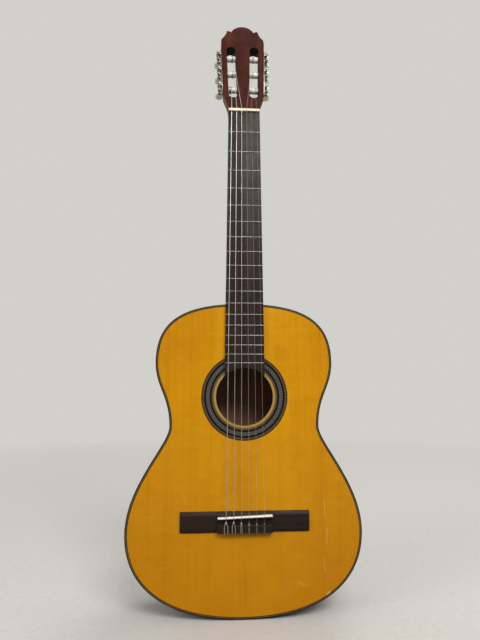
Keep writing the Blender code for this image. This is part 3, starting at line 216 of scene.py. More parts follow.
class Material(Graph):
    """A procedural material; `colour` is its base colour so far, painted over in layers."""

    def __init__(self, name, rough, metal=0.0, coat=0.0, coat_rough=0.05, spec=0.5):
        self.material = bpy.data.materials.new(name)
        self.material.use_nodes = True
        super().__init__(self.material.node_tree)
        self.shader = self.tree.nodes["Principled BSDF"]
        self.set(Roughness=rough, Metallic=metal, Coat_Weight=coat, Coat_Roughness=coat_rough,
                 Specular_IOR_Level=spec)
        self.object = self.field("ShaderNodeTexCoord", "Object")
        self.uv = self.object.output("UV")
        self.colour = None

    def set(self, **values):
        for key, value in values.items():
            self.plug(self.shader.inputs[key.replace("_", " ")], value)

    def finish(self, **values):
        self.set(Base_Color=self.colour, **values)
        return self.material

    def scaled(self, vector, *scale):
        """Scale by one factor, or by one for each axis."""
        factors = tuple(scale) if len(scale) == 3 else scale * 3
        return self.field("ShaderNodeMapping", "Vector", {"Vector": vector, "Scale": factors})

    def noise(self, vector, detail=3.0, rough=0.55, distort=0.0):
        return self.field("ShaderNodeTexNoise", "Fac", {
            "Vector": vector, "Scale": 1.0, "Detail": detail, "Roughness": rough,
            "Distortion": distort})

    def wave(self, vector, scale, distort, detail, detail_scale, profile="SIN"):
        """Bands across X."""
        return self.field("ShaderNodeTexWave", "Fac", {
            "Vector": vector, "Scale": scale, "Distortion": distort, "Detail": detail,
            "Detail Scale": detail_scale}, wave_profile=profile)

    def ramp(self, value, stops):
        """A colour ramp from (position, colour) stops."""
        result = self.field("ShaderNodeValToRGB", 0, {0: value})
        elements = result.socket.node.color_ramp.elements
        while len(elements) < len(stops):
            elements.new(0.5)
        for element, (position, colour) in zip(elements, stops):
            element.position = position
            element.color = (*colour, 1.0)
        return result

    def mix(self, amount, base, tint):
        return self.field("ShaderNodeMix", 2, {0: amount, 6: base, 7: tint}, data_type="RGBA")

    def paint(self, tint, amount):
        """Lay a tint over the colour so far."""
        self.colour = self.mix(amount, self.colour, tint)

    def bump(self, height, strength, distance):
        return self.field("ShaderNodeBump", "Normal", {
            "Strength": strength, "Distance": distance, "Height": height})

    def near_line(self, start, end, width):
        """1 on the segment between two (x, z) points in metres, falling to 0 at width."""
        x, _, z = self.split(self.object)
        run_x, run_z = end[0] - start[0], end[1] - start[1]
        square = run_x * run_x + run_z * run_z
        along = self.math("ADD", (x - start[0]) * (run_x / square),
                          (z - start[1]) * (run_z / square), clamp=True)
        off_x = x - self.math("MULTIPLY_ADD", along, run_x, start[0])
        off_z = z - self.math("MULTIPLY_ADD", along, run_z, start[1])
        distance = self.math("SQRT", off_x * off_x + off_z * off_z)
        return distance.span(over=(0.0, width), to=(1.0, 0.0))


# ------------------------------------------------------------------ materials
# In noise coordinates, the factors on x, y and z are its scale per metre along each axis and a
# bare number picks the slice of the noise.
SCRATCHES = (    # start (x, z), end (x, z), width; metres
    ((0.1225, 0.172), (0.1240, 0.148), 0.0007), ((0.1270, 0.130), (0.1262, 0.106), 0.0008),
    ((0.1205, 0.088), (0.1232, 0.066), 0.0007), ((0.0800, 0.052), (0.0925, 0.046), 0.0006),
    ((-0.0960, 0.186), (-0.0905, 0.170), 0.0006),
)


def spruce_top():
    """Amber lacquered spruce: straight fine grain, bookmatched about the centre joint."""
    mat = Material("spruce_amber_lacquer", rough=0.30, coat=0.20, coat_rough=0.07, spec=0.13)
    x, _, z = mat.split(mat.object)
    across = abs(x)
    drift = mat.noise(mat.join(across * 6.0, 0.0, z * 2.2), detail=2.0)
    grain_x = across + drift * 0.006
    spread = mat.math("POWER", mat.math("MAXIMUM", grain_x, 0.0), 0.86)
    grain = mat.wave(mat.join(spread, 0.0, z * 0.010), scale=118.0, distort=1.3, detail=2.0,
                     detail_scale=0.6, profile="SAW")
    late = mat.ramp(grain, [(0.0, (0, 0, 0)), (0.62, (0.12, 0.12, 0.12)),
                            (0.9, (0.75, 0.75, 0.75)), (1.0, (1, 1, 1))])
    streak = mat.noise(mat.join(grain_x * 150.0, 0.0, z * 1.6), rough=0.6)
    broad = mat.noise(mat.join(grain_x * 34.0, 2.0, z * 1.1), detail=2.0)
    silk = mat.noise(mat.join(x * 22.0, 5.0, z * 95.0), detail=4.0, rough=0.6, distort=0.6)
    cloud = mat.noise(mat.join(x * 7.0, 9.0, z * 5.0), rough=0.5)
    mottle = mat.noise(mat.join(x * 26.0, 3.0, z * 30.0), detail=4.0, rough=0.6, distort=0.5)
    mat.colour = mat.ramp(cloud, [(0.30, (0.575, 0.243, 0.0018)), (0.50, (0.625, 0.274, 0.0024)),
                                  (0.70, (0.670, 0.305, 0.0036))])
    mat.paint((0.47, 0.178, 0.0020), broad.span(over=(0.35, 0.7), to=(0.0, 0.14)))
    mat.paint((0.47, 0.172, 0.0020), mottle.span(over=(0.48, 0.72), to=(0.0, 0.30)))
    mat.paint((0.41, 0.140, 0.0015), streak.span(over=(0.45, 0.75), to=(0.0, 0.26)))
    # the growth rings darken towards the edges of the plate
    strength = across.span(over=(0.05, 0.14), to=(0.24, 0.74))
    mat.paint((0.30, 0.088, 0.0012), late * strength)
    mat.paint((0.76, 0.39, 0.008), silk.span(over=(0.52, 0.70), to=(0.0, 0.15)))
    # a little less colour beside the fingerboard; painted shade darkening towards the tail, where
    # the light falls off
    beside = across.span(over=(0.047, 0.041)) * z.span(over=(0.365, 0.395))
    mat.paint((0.78, 0.42, 0.020), beside * 0.22)
    mat.paint((0.44, 0.145, 0.0030), z.span(over=(0.17, 0.0), to=(0.0, 0.42)))
    edge = mat.noise(mat.join(x * 30.0, 0.0, z * 30.0), detail=2.0)
    mat.paint((0.45, 0.150, 0.0060), across.span(over=(0.150, 0.182), to=(0.0, 0.30)) * edge)
    joint = across.span(over=(0.0, 0.00045), to=(0.55, 0.0))
    mat.paint((0.16, 0.045, 0.003), joint * z.span(over=(0.30, 0.08), to=(0.35, 1.0)))
    # a pale rim round the hole, inside the rosette
    from_hole = z - HOLE_Z * MM
    radius = mat.math("SQRT", x * x + from_hole * from_hole)
    mat.paint((0.36, 0.222, 0.066), radius.span(over=(0.0473, 0.0476), to=(0.8, 0.0)))
    # wear: a hairline crack low on the centre, thin pale scratches and a chip on the treble side
    crack = mat.near_line((0.0014, 0.074), (0.0022, 0.022), width=0.00045)
    mat.paint((0.14, 0.042, 0.004), crack * 0.5)
    marks = mat.near_line(*SCRATCHES[0])
    for scratch in SCRATCHES[1:]:
        marks = mat.math("MAXIMUM", marks, mat.near_line(*scratch))
    chip = mat.near_line((0.1252, 0.0325), (0.1290, 0.0360), width=0.0022)
    mat.paint((0.86, 0.60, 0.22), marks * 0.42)
    mat.paint((0.72, 0.52, 0.27), chip * 0.75)
    haze = mat.noise(mat.scaled(mat.object, 60.0))
    ripple = late * -0.35 + haze * 0.35 - mat.math("MAXIMUM", marks, chip) * 1.5
    return mat.finish(
        Roughness=(haze + marks * 0.4).span(over=(0.3, 0.9), to=(0.20, 0.38)),
        Normal=mat.bump(ripple, strength=0.10, distance=0.0002))


def wood(name, dark, mid, light, rough, along="Z", coat=0.0, pores=0.4, fine=1.0,
         bookmatch=False, band=0.4, spec=0.35):
    """Open-pored wood, its grain along an object axis or along U for "UV".

    pores and band are the strengths of pores and growth bands; fine scales the figure up."""
    mat = Material(name, rough=rough, coat=coat, coat_rough=0.14, spec=spec)
    if along == "UV":
        length, across, second, = *mat.split(mat.uv)[:2], 0.0
    else:
        x, y, z = mat.split(mat.object)
        if bookmatch:
            x = abs(x)
        across, second, length = {"X": (y, z, x), "Y": (x, z, y), "Z": (x, y, z)}[along]

    def stretched(sideways, across_scale, length_scale):
        return mat.join(sideways * across_scale, mat.math("MULTIPLY", second, across_scale),
                        length * length_scale)

    bend = mat.noise(stretched(across, 9.0, 3.5), detail=2.0)
    bent = across + bend * 0.010
    figure = mat.noise(stretched(bent, 95.0 * fine, 2.6), detail=4.0, rough=0.6, distort=0.5)
    mat.colour = mat.ramp(figure, [(0.28, dark), (0.50, mid), (0.74, light)])
    rings = mat.wave(mat.join(bent, mat.math("MULTIPLY", second, 0.4), length * 0.02),
                     scale=34.0 * fine, distort=7.0, detail=2.0, detail_scale=1.4)
    mat.paint(dark, rings.span(over=(0.55, 1.0)) * band)
    fleck = mat.noise(stretched(across, 900.0 * fine, 42.0), detail=2.0, rough=0.5)
    pore = fleck.span(over=(0.56, 0.70))
    mat.paint(tuple(0.35 * channel for channel in dark), pore * pores)
    haze = mat.noise(mat.scaled(mat.object, 70.0))
    return mat.finish(
        Roughness=haze.span(over=(0.25, 0.8), to=(rough - 0.07, rough + 0.12)),
        Normal=mat.bump(figure * 0.3 - pore, strength=0.16, distance=0.00015))


def dark_binding():
    """Dense dark brown with slight clouds and fine polish marks."""
    mat = Material("binding_dark_brown", rough=0.30, coat=0.15, spec=0.2)
    base = (0.016, 0.0100, 0.0072)
    fine = mat.noise(mat.scaled(mat.object, 500.0), detail=4.0, rough=0.6)
    slow = mat.noise(mat.scaled(mat.object, 45.0), detail=2.0)
    mat.colour = base
    mat.paint((0.030, 0.0190, 0.0135), fine.span(over=(0.35, 0.7)))
    mat.paint(tuple(0.7 * channel for channel in base), slow.span(over=(0.3, 0.7), to=(0.0, 0.35)))
    return mat.finish(Roughness=fine.span(over=(0.3, 0.7), to=(0.24, 0.40)),
                      Normal=mat.bump(fine, strength=0.05, distance=0.0001))


def metal(name, base, tarnish, rough, brushed=(1, 1, 12)):
    """Plated metal with brushing (finest along its largest factor), smears and light tarnish."""
    mat = Material(name, rough=rough, metal=1.0)
    brush = mat.noise(mat.scaled(mat.object, *(420.0 * factor for factor in brushed)), rough=0.6)
    smear = mat.noise(mat.scaled(mat.object, 190.0), detail=4.0, rough=0.6, distort=0.4)
    mat.colour = base
    mat.paint(tarnish, smear.span(over=(0.45, 0.75), to=(0.0, 0.75)))
    dull = brush * 0.5 + smear * 0.5
    return mat.finish(Roughness=dull.span(over=(0.3, 0.75), to=(rough - 0.06, rough + 0.22)),
                      Normal=mat.bump(brush, strength=0.06, distance=0.00005))


def mosaic():
    """End-grain wood tiles in fine diagonal steps; UV is (arc length, radius) in metres."""
    tile, turn_every, tones = 0.00105, 5.0, 4.0    # tile size (m), tiles per slant, tone count
    mat = Material("rosette_mosaic_tiles", rough=0.36, coat=0.12, coat_rough=0.08, spec=0.14)
    along, radius, _ = mat.split(mat.uv)
    column = mat.math("FLOOR", along / tile)
    row = mat.math("FLOOR", radius / tile)
    # the slant turns over every few millimetres of radius, as a chevron does
    fold = mat.math("PINGPONG", row + 0.0, turn_every)
    step = mat.math("MODULO", column + fold + 4096.0, tones)
    mat.colour = mat.ramp(step / 3.0, [
        (0.0, (0.011, 0.010, 0.010)), (0.30, (0.066, 0.063, 0.059)),
        (0.62, (0.208, 0.200, 0.185)), (1.0, (0.070, 0.067, 0.062))])
    scatter = mat.field("ShaderNodeTexWhiteNoise", "Value",
                        {"Vector": mat.join(column, row, 0.0)}, noise_dimensions="2D")
    mat.paint((0.052, 0.051, 0.054), scatter.span(over=(0.0, 1.0), to=(0.0, 0.30)))
    off_u = abs(mat.math("FRACT", along / tile) - 0.5)
    off_v = abs(mat.math("FRACT", radius / tile) - 0.5)
    seam = mat.math("MAXIMUM", off_u, off_v).span(over=(0.42, 0.5))
    mat.paint((0.02, 0.02, 0.02), seam * 0.5)
    return mat.finish(Normal=mat.bump(seam * -1.0, strength=0.08, distance=0.00005))


def ring_wood(name, base, other):
    """A thin bent veneer line; UV is (arc length, radius)."""
    mat = Material(name, rough=0.36, coat=0.12, coat_rough=0.08, spec=0.10)
    grain = mat.noise(mat.scaled(mat.uv, 120.0, 2600.0, 1.0), rough=0.6)
    mat.colour = base
    mat.paint(other, grain.span(over=(0.35, 0.68)))
    return mat.finish(Roughness=grain.span(over=(0.3, 0.7), to=(0.30, 0.46)),
                      Normal=mat.bump(grain, strength=0.08, distance=0.00005))


def bone(name, tint=(1.0, 1.0, 1.0)):
    mat = Material(name, rough=0.34, coat=0.2)
    fleck = mat.noise(mat.scaled(mat.object, 900.0, 900.0, 260.0), detail=4.0, rough=0.6)
    cloud = mat.noise(mat.scaled(mat.object, 120.0))
    mat.colour = mat.ramp(cloud, [
        (position, tuple(a * b for a, b in zip(shade, tint)))
        for position, shade in ((0.3, (0.80, 0.735, 0.60)), (0.6, (0.90, 0.86, 0.75)))])
    mat.paint((0.58, 0.48, 0.32), fleck.span(over=(0.60, 0.78), to=(0.0, 0.35)))
    return mat.finish(Roughness=fleck.span(over=(0.3, 0.7), to=(0.26, 0.42)),
                      Normal=mat.bump(fleck, strength=0.05, distance=0.0001))


def cream_plastic():
    """The rollers' plastic, with fine turning marks along Z."""
    mat = Material("roller_cream_plastic", rough=0.36, coat=0.15)
    marks = mat.noise(mat.scaled(mat.object, 60.0, 60.0, 1400.0), detail=2.0)
    cloud = mat.noise(mat.scaled(mat.object, 170.0))
    mat.colour = mat.ramp(cloud, [(0.3, (0.70, 0.68, 0.59)), (0.65, (0.86, 0.85, 0.78))])
    mat.paint((0.50, 0.47, 0.40), marks.span(over=(0.5, 0.8), to=(0.0, 0.3)))
    return mat.finish(Roughness=marks.span(over=(0.3, 0.7), to=(0.28, 0.44)),
                      Normal=mat.bump(marks, strength=0.08, distance=0.0001))


def pearl():
    """Swirled pearl plastic that lets some light through."""
    mat = Material("button_pearloid", rough=0.22, coat=0.7, coat_rough=0.06)
    mat.set(Subsurface_Weight=0.75, Subsurface_Scale=0.012, Subsurface_Radius=(1.0, 0.92, 0.75))
    warp = mat.field("ShaderNodeTexNoise", "Color",
                     {"Vector": mat.scaled(mat.object, 150.0), "Scale": 1.0})
    swirled = mat.field("ShaderNodeVectorMath", 0,
                        {0: warp, 1: (0.004, 0.004, 0.004), 2: mat.object},
                        operation="MULTIPLY_ADD")
    cells = mat.field("ShaderNodeTexVoronoi", "Color", {"Vector": swirled, "Scale": 330.0})
    tone = mat.field("ShaderNodeSeparateColor", 0, {0: cells})
    facing = mat.field("ShaderNodeLayerWeight", "Facing", {"Blend": 0.35})
    mat.colour = mat.ramp(tone, [(0.0, (0.72, 0.69, 0.57)), (0.45, (0.85, 0.82, 0.71)),
                                 (1.0, (0.95, 0.93, 0.86))])
    veil = mat.wave(swirled, scale=60.0, distort=6.0, detail=3.0, detail_scale=2.0)
    mat.paint((0.86, 0.86, 0.76), veil * 0.30)
    mat.paint((0.66, 0.64, 0.50), facing * 0.25)
    return mat.finish(
        Roughness=tone.output(1).span(over=(0.0, 1.0), to=(0.14, 0.30)),
        Normal=mat.bump(cells.output("Distance"), strength=0.05, distance=0.0001))


def wound_string():
    """Silver-plated wire wound on the string; UV.x is the length in metres."""
    wire_pitch = 0.00016
    mat = Material("string_silver_wound", rough=0.32, metal=0.85)
    length, _, _ = mat.split(mat.uv)
    turns = mat.math("SINE", length * (2.0 * math.pi / wire_pitch))
    wear = mat.noise(mat.join(length * 70.0, 0.0, 0.0))
    mat.colour = (0.76, 0.745, 0.705)
    mat.paint((0.60, 0.55, 0.46), wear.span(over=(0.4, 0.7), to=(0.0, 0.5)))
    # painted shade darkening the grooves between the wire's turns
    mat.paint((0.24, 0.215, 0.185), turns.span(over=(-1.0, -0.4), to=(0.4, 0.0)))
    return mat.finish(Roughness=wear.span(over=(0.3, 0.7), to=(0.26, 0.44)),
                      Normal=mat.bump(turns, strength=0.25, distance=0.00004))


def clear_nylon():
    """Clear nylon line, see-through enough to take on what lies behind it."""
    mat = Material("string_clear_nylon", rough=0.22)
    length, _, _ = mat.split(mat.uv)
    cloud = mat.noise(mat.join(length * 300.0, 0.0, 0.0))
    mat.colour = (0.34, 0.30, 0.25)
    mat.paint((0.48, 0.44, 0.38), cloud)
    return mat.finish(Roughness=cloud.span(over=(0.3, 0.7), to=(0.18, 0.32)), Alpha=0.20)


TOP = spruce_top()
RAW_TONES = ((0.42, 0.28, 0.15), (0.53, 0.38, 0.22), (0.62, 0.47, 0.29))
RAW = wood("spruce_raw", *RAW_TONES, rough=0.62, pores=0.12, fine=0.8, band=0.25)
RAW_ACROSS = wood("spruce_raw_across", *RAW_TONES, rough=0.62, along="X", pores=0.12, fine=0.8,
                  band=0.25)
BLOCK = wood("block_mahogany", (0.20, 0.10, 0.055), (0.30, 0.165, 0.09), (0.38, 0.22, 0.13),
             rough=0.62, along="Y")
LINING = wood("lining_cedar", (0.26, 0.155, 0.085), (0.36, 0.23, 0.135), (0.45, 0.30, 0.19),
              rough=0.64, along="Y", pores=0.25)
RIB = wood("side_mahogany", (0.075, 0.024, 0.012), (0.135, 0.046, 0.021), (0.205, 0.078, 0.034),
           rough=0.26, along="UV", coat=0.8, pores=0.5, band=0.45)
BACK = wood("back_mahogany", (0.080, 0.026, 0.013), (0.140, 0.048, 0.022), (0.215, 0.082, 0.036),
            rough=0.26, coat=0.8, pores=0.5, bookmatch=True, band=0.5)
# bare unfinished wood inside the box, also made paler as painted light: the inside is lit only
# through the hole
BARE_BACK_PAINTED_LIGHT = wood("back_bare_mahogany_painted_light", (0.150, 0.068, 0.036), (0.230, 0.112, 0.062),
                 (0.310, 0.160, 0.092), rough=0.6, bookmatch=True, spec=0.3)
NECK = wood("neck_mahogany", (0.085, 0.026, 0.014), (0.140, 0.044, 0.022), (0.200, 0.068, 0.032),
            rough=0.38, coat=0.25, pores=0.5, band=0.3, spec=0.3)
FACE = wood("head_face_veneer", (0.034, 0.0078, 0.0046), (0.055, 0.0128, 0.0074),
            (0.082, 0.0205, 0.0118), rough=0.27, pores=0.45, band=0.35, spec=0.08)
BOARD = wood("fingerboard_rosewood", (0.019, 0.0115, 0.0098), (0.031, 0.0190, 0.0162),
             (0.050, 0.032, 0.027), rough=0.42, pores=0.6, fine=1.2, spec=0.15)
ROSEWOOD = wood("bridge_rosewood", (0.015, 0.0078, 0.0058), (0.026, 0.0135, 0.0098),
                (0.042, 0.0225, 0.0165), rough=0.46, along="X", pores=0.55, spec=0.22)
BINDING = dark_binding()
# near-black wood for the walls of the head's slots: painted shade for the shadow inside them
SLOT_PAINTED_SHADE = wood("slot_painted_shade", (0.008, 0.005, 0.004), (0.013, 0.0075, 0.006),
                 (0.020, 0.011, 0.009), rough=0.5, spec=0.25)
CAP = wood("heel_cap_ebony", (0.010, 0.008, 0.007), (0.016, 0.012, 0.010), (0.026, 0.019, 0.015),
           rough=0.3, coat=0.5)
MOSAIC = mosaic()
LINE_PALE = ring_wood("ring_pale_maple", (0.330, 0.205, 0.062), (0.400, 0.262, 0.092))
LINE_TAN = ring_wood("ring_tan", (0.135, 0.100, 0.045), (0.190, 0.145, 0.070))
LINE_BROWN = ring_wood("ring_brown", (0.090, 0.050, 0.022), (0.130, 0.075, 0.033))
LINE_TAN_INNER = ring_wood("ring_tan_inner", (0.082, 0.058, 0.022), (0.125, 0.092, 0.038))
LINE_TAN_OUTER = ring_wood("ring_tan_outer", (0.072, 0.057, 0.031), (0.110, 0.088, 0.050))
LINE_BLACK = ring_wood("ring_black", (0.0036, 0.0030, 0.0028), (0.0070, 0.0058, 0.0052))
LINE_DARK_BROWN = ring_wood("ring_dark_brown", (0.030, 0.0175, 0.009), (0.047, 0.028, 0.015))
BONE = bone("bone_ivory")
OLD_BONE = bone("nut_aged_bone", tint=(0.84, 0.77, 0.64))
NICKEL = metal("plate_nickel", (0.38, 0.37, 0.33), (0.22, 0.205, 0.165), rough=0.30)
STEEL = metal("worm_steel", (0.40, 0.39, 0.365), (0.24, 0.22, 0.18), rough=0.30,
              brushed=(1, 1, 8))
BRASS = metal("gear_brass", (0.33, 0.305, 0.225), (0.19, 0.170, 0.115), rough=0.34,
              brushed=(6, 1, 1))
FRET_METAL = metal("fret_nickel_silver", (0.32, 0.31, 0.305), (0.20, 0.19, 0.18), rough=0.34,
                   brushed=(10, 1, 1))
BARREL = cream_plastic()
PEARL = pearl()
WOUND = wound_string()
NYLON = clear_nylon()


# ------------------------------------------------------------------ mesh helpers
def shade(obj, angle):
    """Smooth shading, with edges sharper than angle (degrees) kept hard."""
    obj.data.shade_smooth()
    obj.data.set_sharp_from_angle(angle=math.radians(angle))


def add_mesh(name, verts, faces, mat, angle=35, place=None, uvs=None, recalc=True):
    """A mesh object from points in metres; uvs holds each face's corners as (u, v).

    recalc turns the faces outwards."""
    mesh = bpy.data.meshes.new(name)
    mesh.from_pydata([tuple(vert) for vert in verts], [], faces)
    if uvs is not None:
        layer = mesh.uv_layers.new(name="UVMap")
        layer.data.foreach_set("uv", [c for face in uvs for corner in face for c in corner])
    if place is not None:
        mesh.transform(place)
    if recalc:
        bm = bmesh.new()
        bm.from_mesh(mesh)
        bmesh.ops.recalc_face_normals(bm, faces=bm.faces)
        if bm.calc_volume(signed=True) < 0:
            bmesh.ops.reverse_faces(bm, faces=bm.faces)
        bm.to_mesh(mesh)
        bm.free()
    mesh.update()
    obj = bpy.data.objects.new(name, mesh)
    bpy.context.scene.collection.objects.link(obj)
    if mat is not None:
        mesh.materials.append(mat)
    if angle is not None:
        shade(obj, angle)
    return obj


def skin(rows, columns, closed=False, caps=True, first=0):
    """Quads over rows of closed sections; closed joins the last row to the first."""
    faces = []
    for row in range(rows if closed else rows - 1):
        here = first + row * columns
        there = first + (row + 1) % rows * columns
        for k in range(columns):
            after = (k + 1) % columns
            faces.append((here + k, here + after, there + after, there + k))
    if caps and not closed:
        for row in (0, rows - 1):
            faces.append(tuple(first + row * columns + k for k in range(columns)))
    return faces


def skin_uvs(row_us, column_vs):
    """Corner UVs for skin's quads, from u at each row's end and v at each column's."""
    return [((u0, v0), (u0, v1), (u1, v1), (u1, v0))
            for u0, u1 in zip(row_us, row_us[1:]) for v0, v1 in zip(column_vs, column_vs[1:])]


def signed_area(loop):
    return 0.5 * sum(a[0] * b[1] - b[0] * a[1] for a, b in zip(loop, loop[1:] + loop[:1]))


def loop_normals(loop):
    """Mitred outward normals of a counter-clockwise outline."""
    normals = []
    for i, here in enumerate(loop):
        before, after = loop[i - 1], loop[(i + 1) % len(loop)]
        run_in = (here[0] - before[0], here[1] - before[1])
        run_out = (after[0] - here[0], after[1] - here[1])
        length_in, length_out = math.hypot(*run_in) or 1e-9, math.hypot(*run_out) or 1e-9
        n1 = (run_in[1] / length_in, -run_in[0] / length_in)
        n2 = (run_out[1] / length_out, -run_out[0] / length_out)
        mitre = max(0.45, 1.0 + n1[0] * n2[0] + n1[1] * n2[1])
        normals.append(((n1[0] + n2[0]) / mitre, (n1[1] + n2[1]) / mitre))
    return normals


def slab(name, loops, start, end, mat, rounding=(0.0, 0.0), steps=3, place=SHIFT, along="y",
         angle=35):
    """A flat piece from (a, b) outlines in mm, the first outside and the rest holes.

    It fills start to end on the axis `along`; a and b take the other two axes in their order.
    rounding gives the radii of the rims at start and end."""
    axis = "xyz".index(along)
    fixed = [list(loop) if (signed_area(loop) > 0) == (i == 0) else list(loop)[::-1]
             for i, loop in enumerate(loops)]
    low, high = rounding
    quarter = [math.pi / 2 * k / steps for k in range(steps + 1)]
    levels = [(-low * (1 - math.sin(t)), start + low * (1 - math.cos(t)))
              for t in (quarter if low else [0.0])]
    levels += [(-high * (1 - math.cos(t)), end - high * (1 - math.sin(t)))
               for t in (quarter if high else [0.0])]
    verts, faces, firsts = [], [], []
    normals = [loop_normals(loop) for loop in fixed]

    def grown(loop, directions, offset):
        return [(a + na * offset, b + nb * offset) for (a, b), (na, nb) in zip(loop, directions)]

    for loop, directions in zip(fixed, normals):
        firsts.append(len(verts))
        for offset, height in levels:
            for pair in grown(loop, directions, offset):
                point = list(pair)
                point.insert(axis, height)
                verts.append(mm(*point))
        faces += skin(len(levels), len(loop), caps=False, first=firsts[-1])
    for level in (0, len(levels) - 1):
        rings, index = [], []
        for first, loop, directions in zip(firsts, fixed, normals):
            index += [first + level * len(loop) + i for i in range(len(loop))]
            rings.append([Vector((a, b, 0.0)) for a, b in grown(loop, directions, levels[level][0])])
        if len(fixed) == 1:
            faces.append(tuple(index))
        else:
            faces += [tuple(index[i] for i in tri) for tri in tessellate_polygon(rings)]
    obj = add_mesh(name, verts, faces, mat, angle, place)
    if len(fixed) > 1:
        tidy_flat(obj, angle, limit=0.02)
    return obj


def lathe(name, profile, sides, mat, place=None, angle=35):
    """(radius, height) points in mm turned round Z; radius 0 closes the ends."""
    verts, faces, rows = [], [], []
    for radius, height in profile:
        count = 1 if radius < 1e-6 else sides
        rows.append(list(range(len(verts), len(verts) + count)))
        if count == 1:
            verts.append(mm(0.0, 0.0, height))
        else:
            verts += [mm(radius * math.cos(2 * math.pi * i / sides),
                         radius * math.sin(2 * math.pi * i / sides), height)
                      for i in range(sides)]
    for low, high in zip(rows, rows[1:]):
        for i in range(sides):
            j = (i + 1) % sides
            if len(low) == 1:
                faces.append((low[0], high[i], high[j]))
            elif len(high) == 1:
                faces.append((low[i], low[j], high[0]))
            else:
                faces.append((low[i], low[j], high[j], high[i]))
    return add_mesh(name, verts, faces, mat, angle, place)


def tube(name, points, radius, sides, mat):
    """A round line through points (mm), with UV.x its length in metres and domed ends."""
    points = [Vector(point) for point in points]
    last = len(points) - 1
    tangents = [(points[min(i + 1, last)] - points[max(i - 1, 0)]).normalized()
                for i in range(last + 1)]
    start, end = tangents[0], tangents[-1]
    stations = [(points[0] - start * radius * 0.45, start, radius * 0.55)]
    stations += [(point, tangent, radius) for point, tangent in zip(points, tangents)]
    stations.append((points[-1] + end * radius * 0.45, end, radius * 0.55))
    side = start.orthogonal().normalized()
    verts, lengths, travelled, previous = [], [], 0.0, stations[0][0]
    for point, tangent, size in stations:
        side = (side - tangent * side.dot(tangent)).normalized()
        up = tangent.cross(side)
        travelled += (point - previous).length
        previous = point
        lengths.append(travelled * MM)
        for k in range(sides):
            a = 2 * math.pi * k / sides
            verts.append((point + side * (size * math.cos(a)) + up * (size * math.sin(a))) * MM)
    faces = skin(len(stations), sides, caps=False)
    uvs = skin_uvs(lengths, [k / sides for k in range(sides + 1)])
    faces.append(tuple(range(sides))[::-1])
    faces.append(tuple((len(stations) - 1) * sides + k for k in range(sides)))
    uvs += [((lengths[0], 0.5),) * sides, ((lengths[-1], 0.5),) * sides]
    return add_mesh(name, verts, faces, mat, 60, SHIFT, uvs, recalc=False)


def rod(start, end, radius, sides, place=SHIFT):
    """A plain cylinder between two points, for cutting."""
    a, b = Vector(start), Vector(end)
    turn = (b - a).normalized().to_track_quat("Z", "Y").to_matrix().to_4x4()
    half = (b - a).length / 2
    where = place @ Matrix.Translation((a + b) / 2 * MM) @ turn
    return lathe("cut", [(0, -half), (radius, -half), (radius, half), (0, half)], sides, None,
                 where)


def evaluated(obj):
    bpy.context.view_layer.update()
    graph = bpy.context.evaluated_depsgraph_get()
    return bpy.data.meshes.new_from_object(obj.evaluated_get(graph), depsgraph=graph)


def boolean(obj, other, operation="DIFFERENCE"):
    """Join or cut with another object, which is used up."""
    modifier = obj.modifiers.new("b", "BOOLEAN")
    modifier.operation = operation
    modifier.solver = "MANIFOLD"
    modifier.object = other
    mesh = evaluated(obj)
    if not mesh.polygons:
        # the fast solver gives nothing where a mesh isn't watertight
        modifier.solver = "EXACT"
        mesh = evaluated(obj)
    obj.modifiers.clear()
    obj.data = mesh
    # faces made by a cutter with no material take the piece's own
    slots = list(mesh.materials)
    kept = [mat for mat in slots if mat is not None]
    if kept and len(kept) < len(slots):
        places = [0 if mat is None else kept.index(mat) for mat in slots]
        index = [places[poly.material_index] for poly in mesh.polygons]
        mesh.materials.clear()
        for mat in kept:
            mesh.materials.append(mat)
        mesh.polygons.foreach_set("material_index", index)
    bm = bmesh.new()
    bm.from_mesh(mesh)
    bmesh.ops.remove_doubles(bm, verts=bm.verts, dist=2e-7)
    bmesh.ops.dissolve_degenerate(bm, edges=bm.edges, dist=1e-7)
    loose = [edge for edge in bm.edges if not edge.link_faces]
    bmesh.ops.delete(bm, geom=loose, context="EDGES")
    bm.to_mesh(mesh)
    bm.free()
    bpy.data.objects.remove(other, do_unlink=True)


def merged(objects):
    """Several separate closed shapes as one mesh object, for one Boolean."""
    bm = bmesh.new()
    for obj in objects:
        bm.from_mesh(obj.data)
    mesh = bpy.data.meshes.new("merged")
    bm.to_mesh(mesh)
    bm.free()
    for obj in objects:
        bpy.data.objects.remove(obj, do_unlink=True)
    obj = bpy.data.objects.new("merged", mesh)
    bpy.context.scene.collection.objects.link(obj)
    return obj


def tidy_flat(obj, angle, limit=0.04):
    """Merge split faces that lie flat within limit (degrees), keep them simple, and shade."""
    bm = bmesh.new()
    bm.from_mesh(obj.data)
    bmesh.ops.dissolve_limit(bm, angle_limit=math.radians(limit), use_dissolve_boundaries=False,
                             verts=bm.verts, edges=bm.edges)
    bmesh.ops.triangulate(bm, faces=[face for face in bm.faces if len(face.verts) > 4])
    bm.to_mesh(obj.data)
    bm.free()
    shade(obj, angle)


def refinish(obj, mat):
    """Give a whole object one material."""
    obj.data.materials.clear()
    obj.data.materials.append(mat)


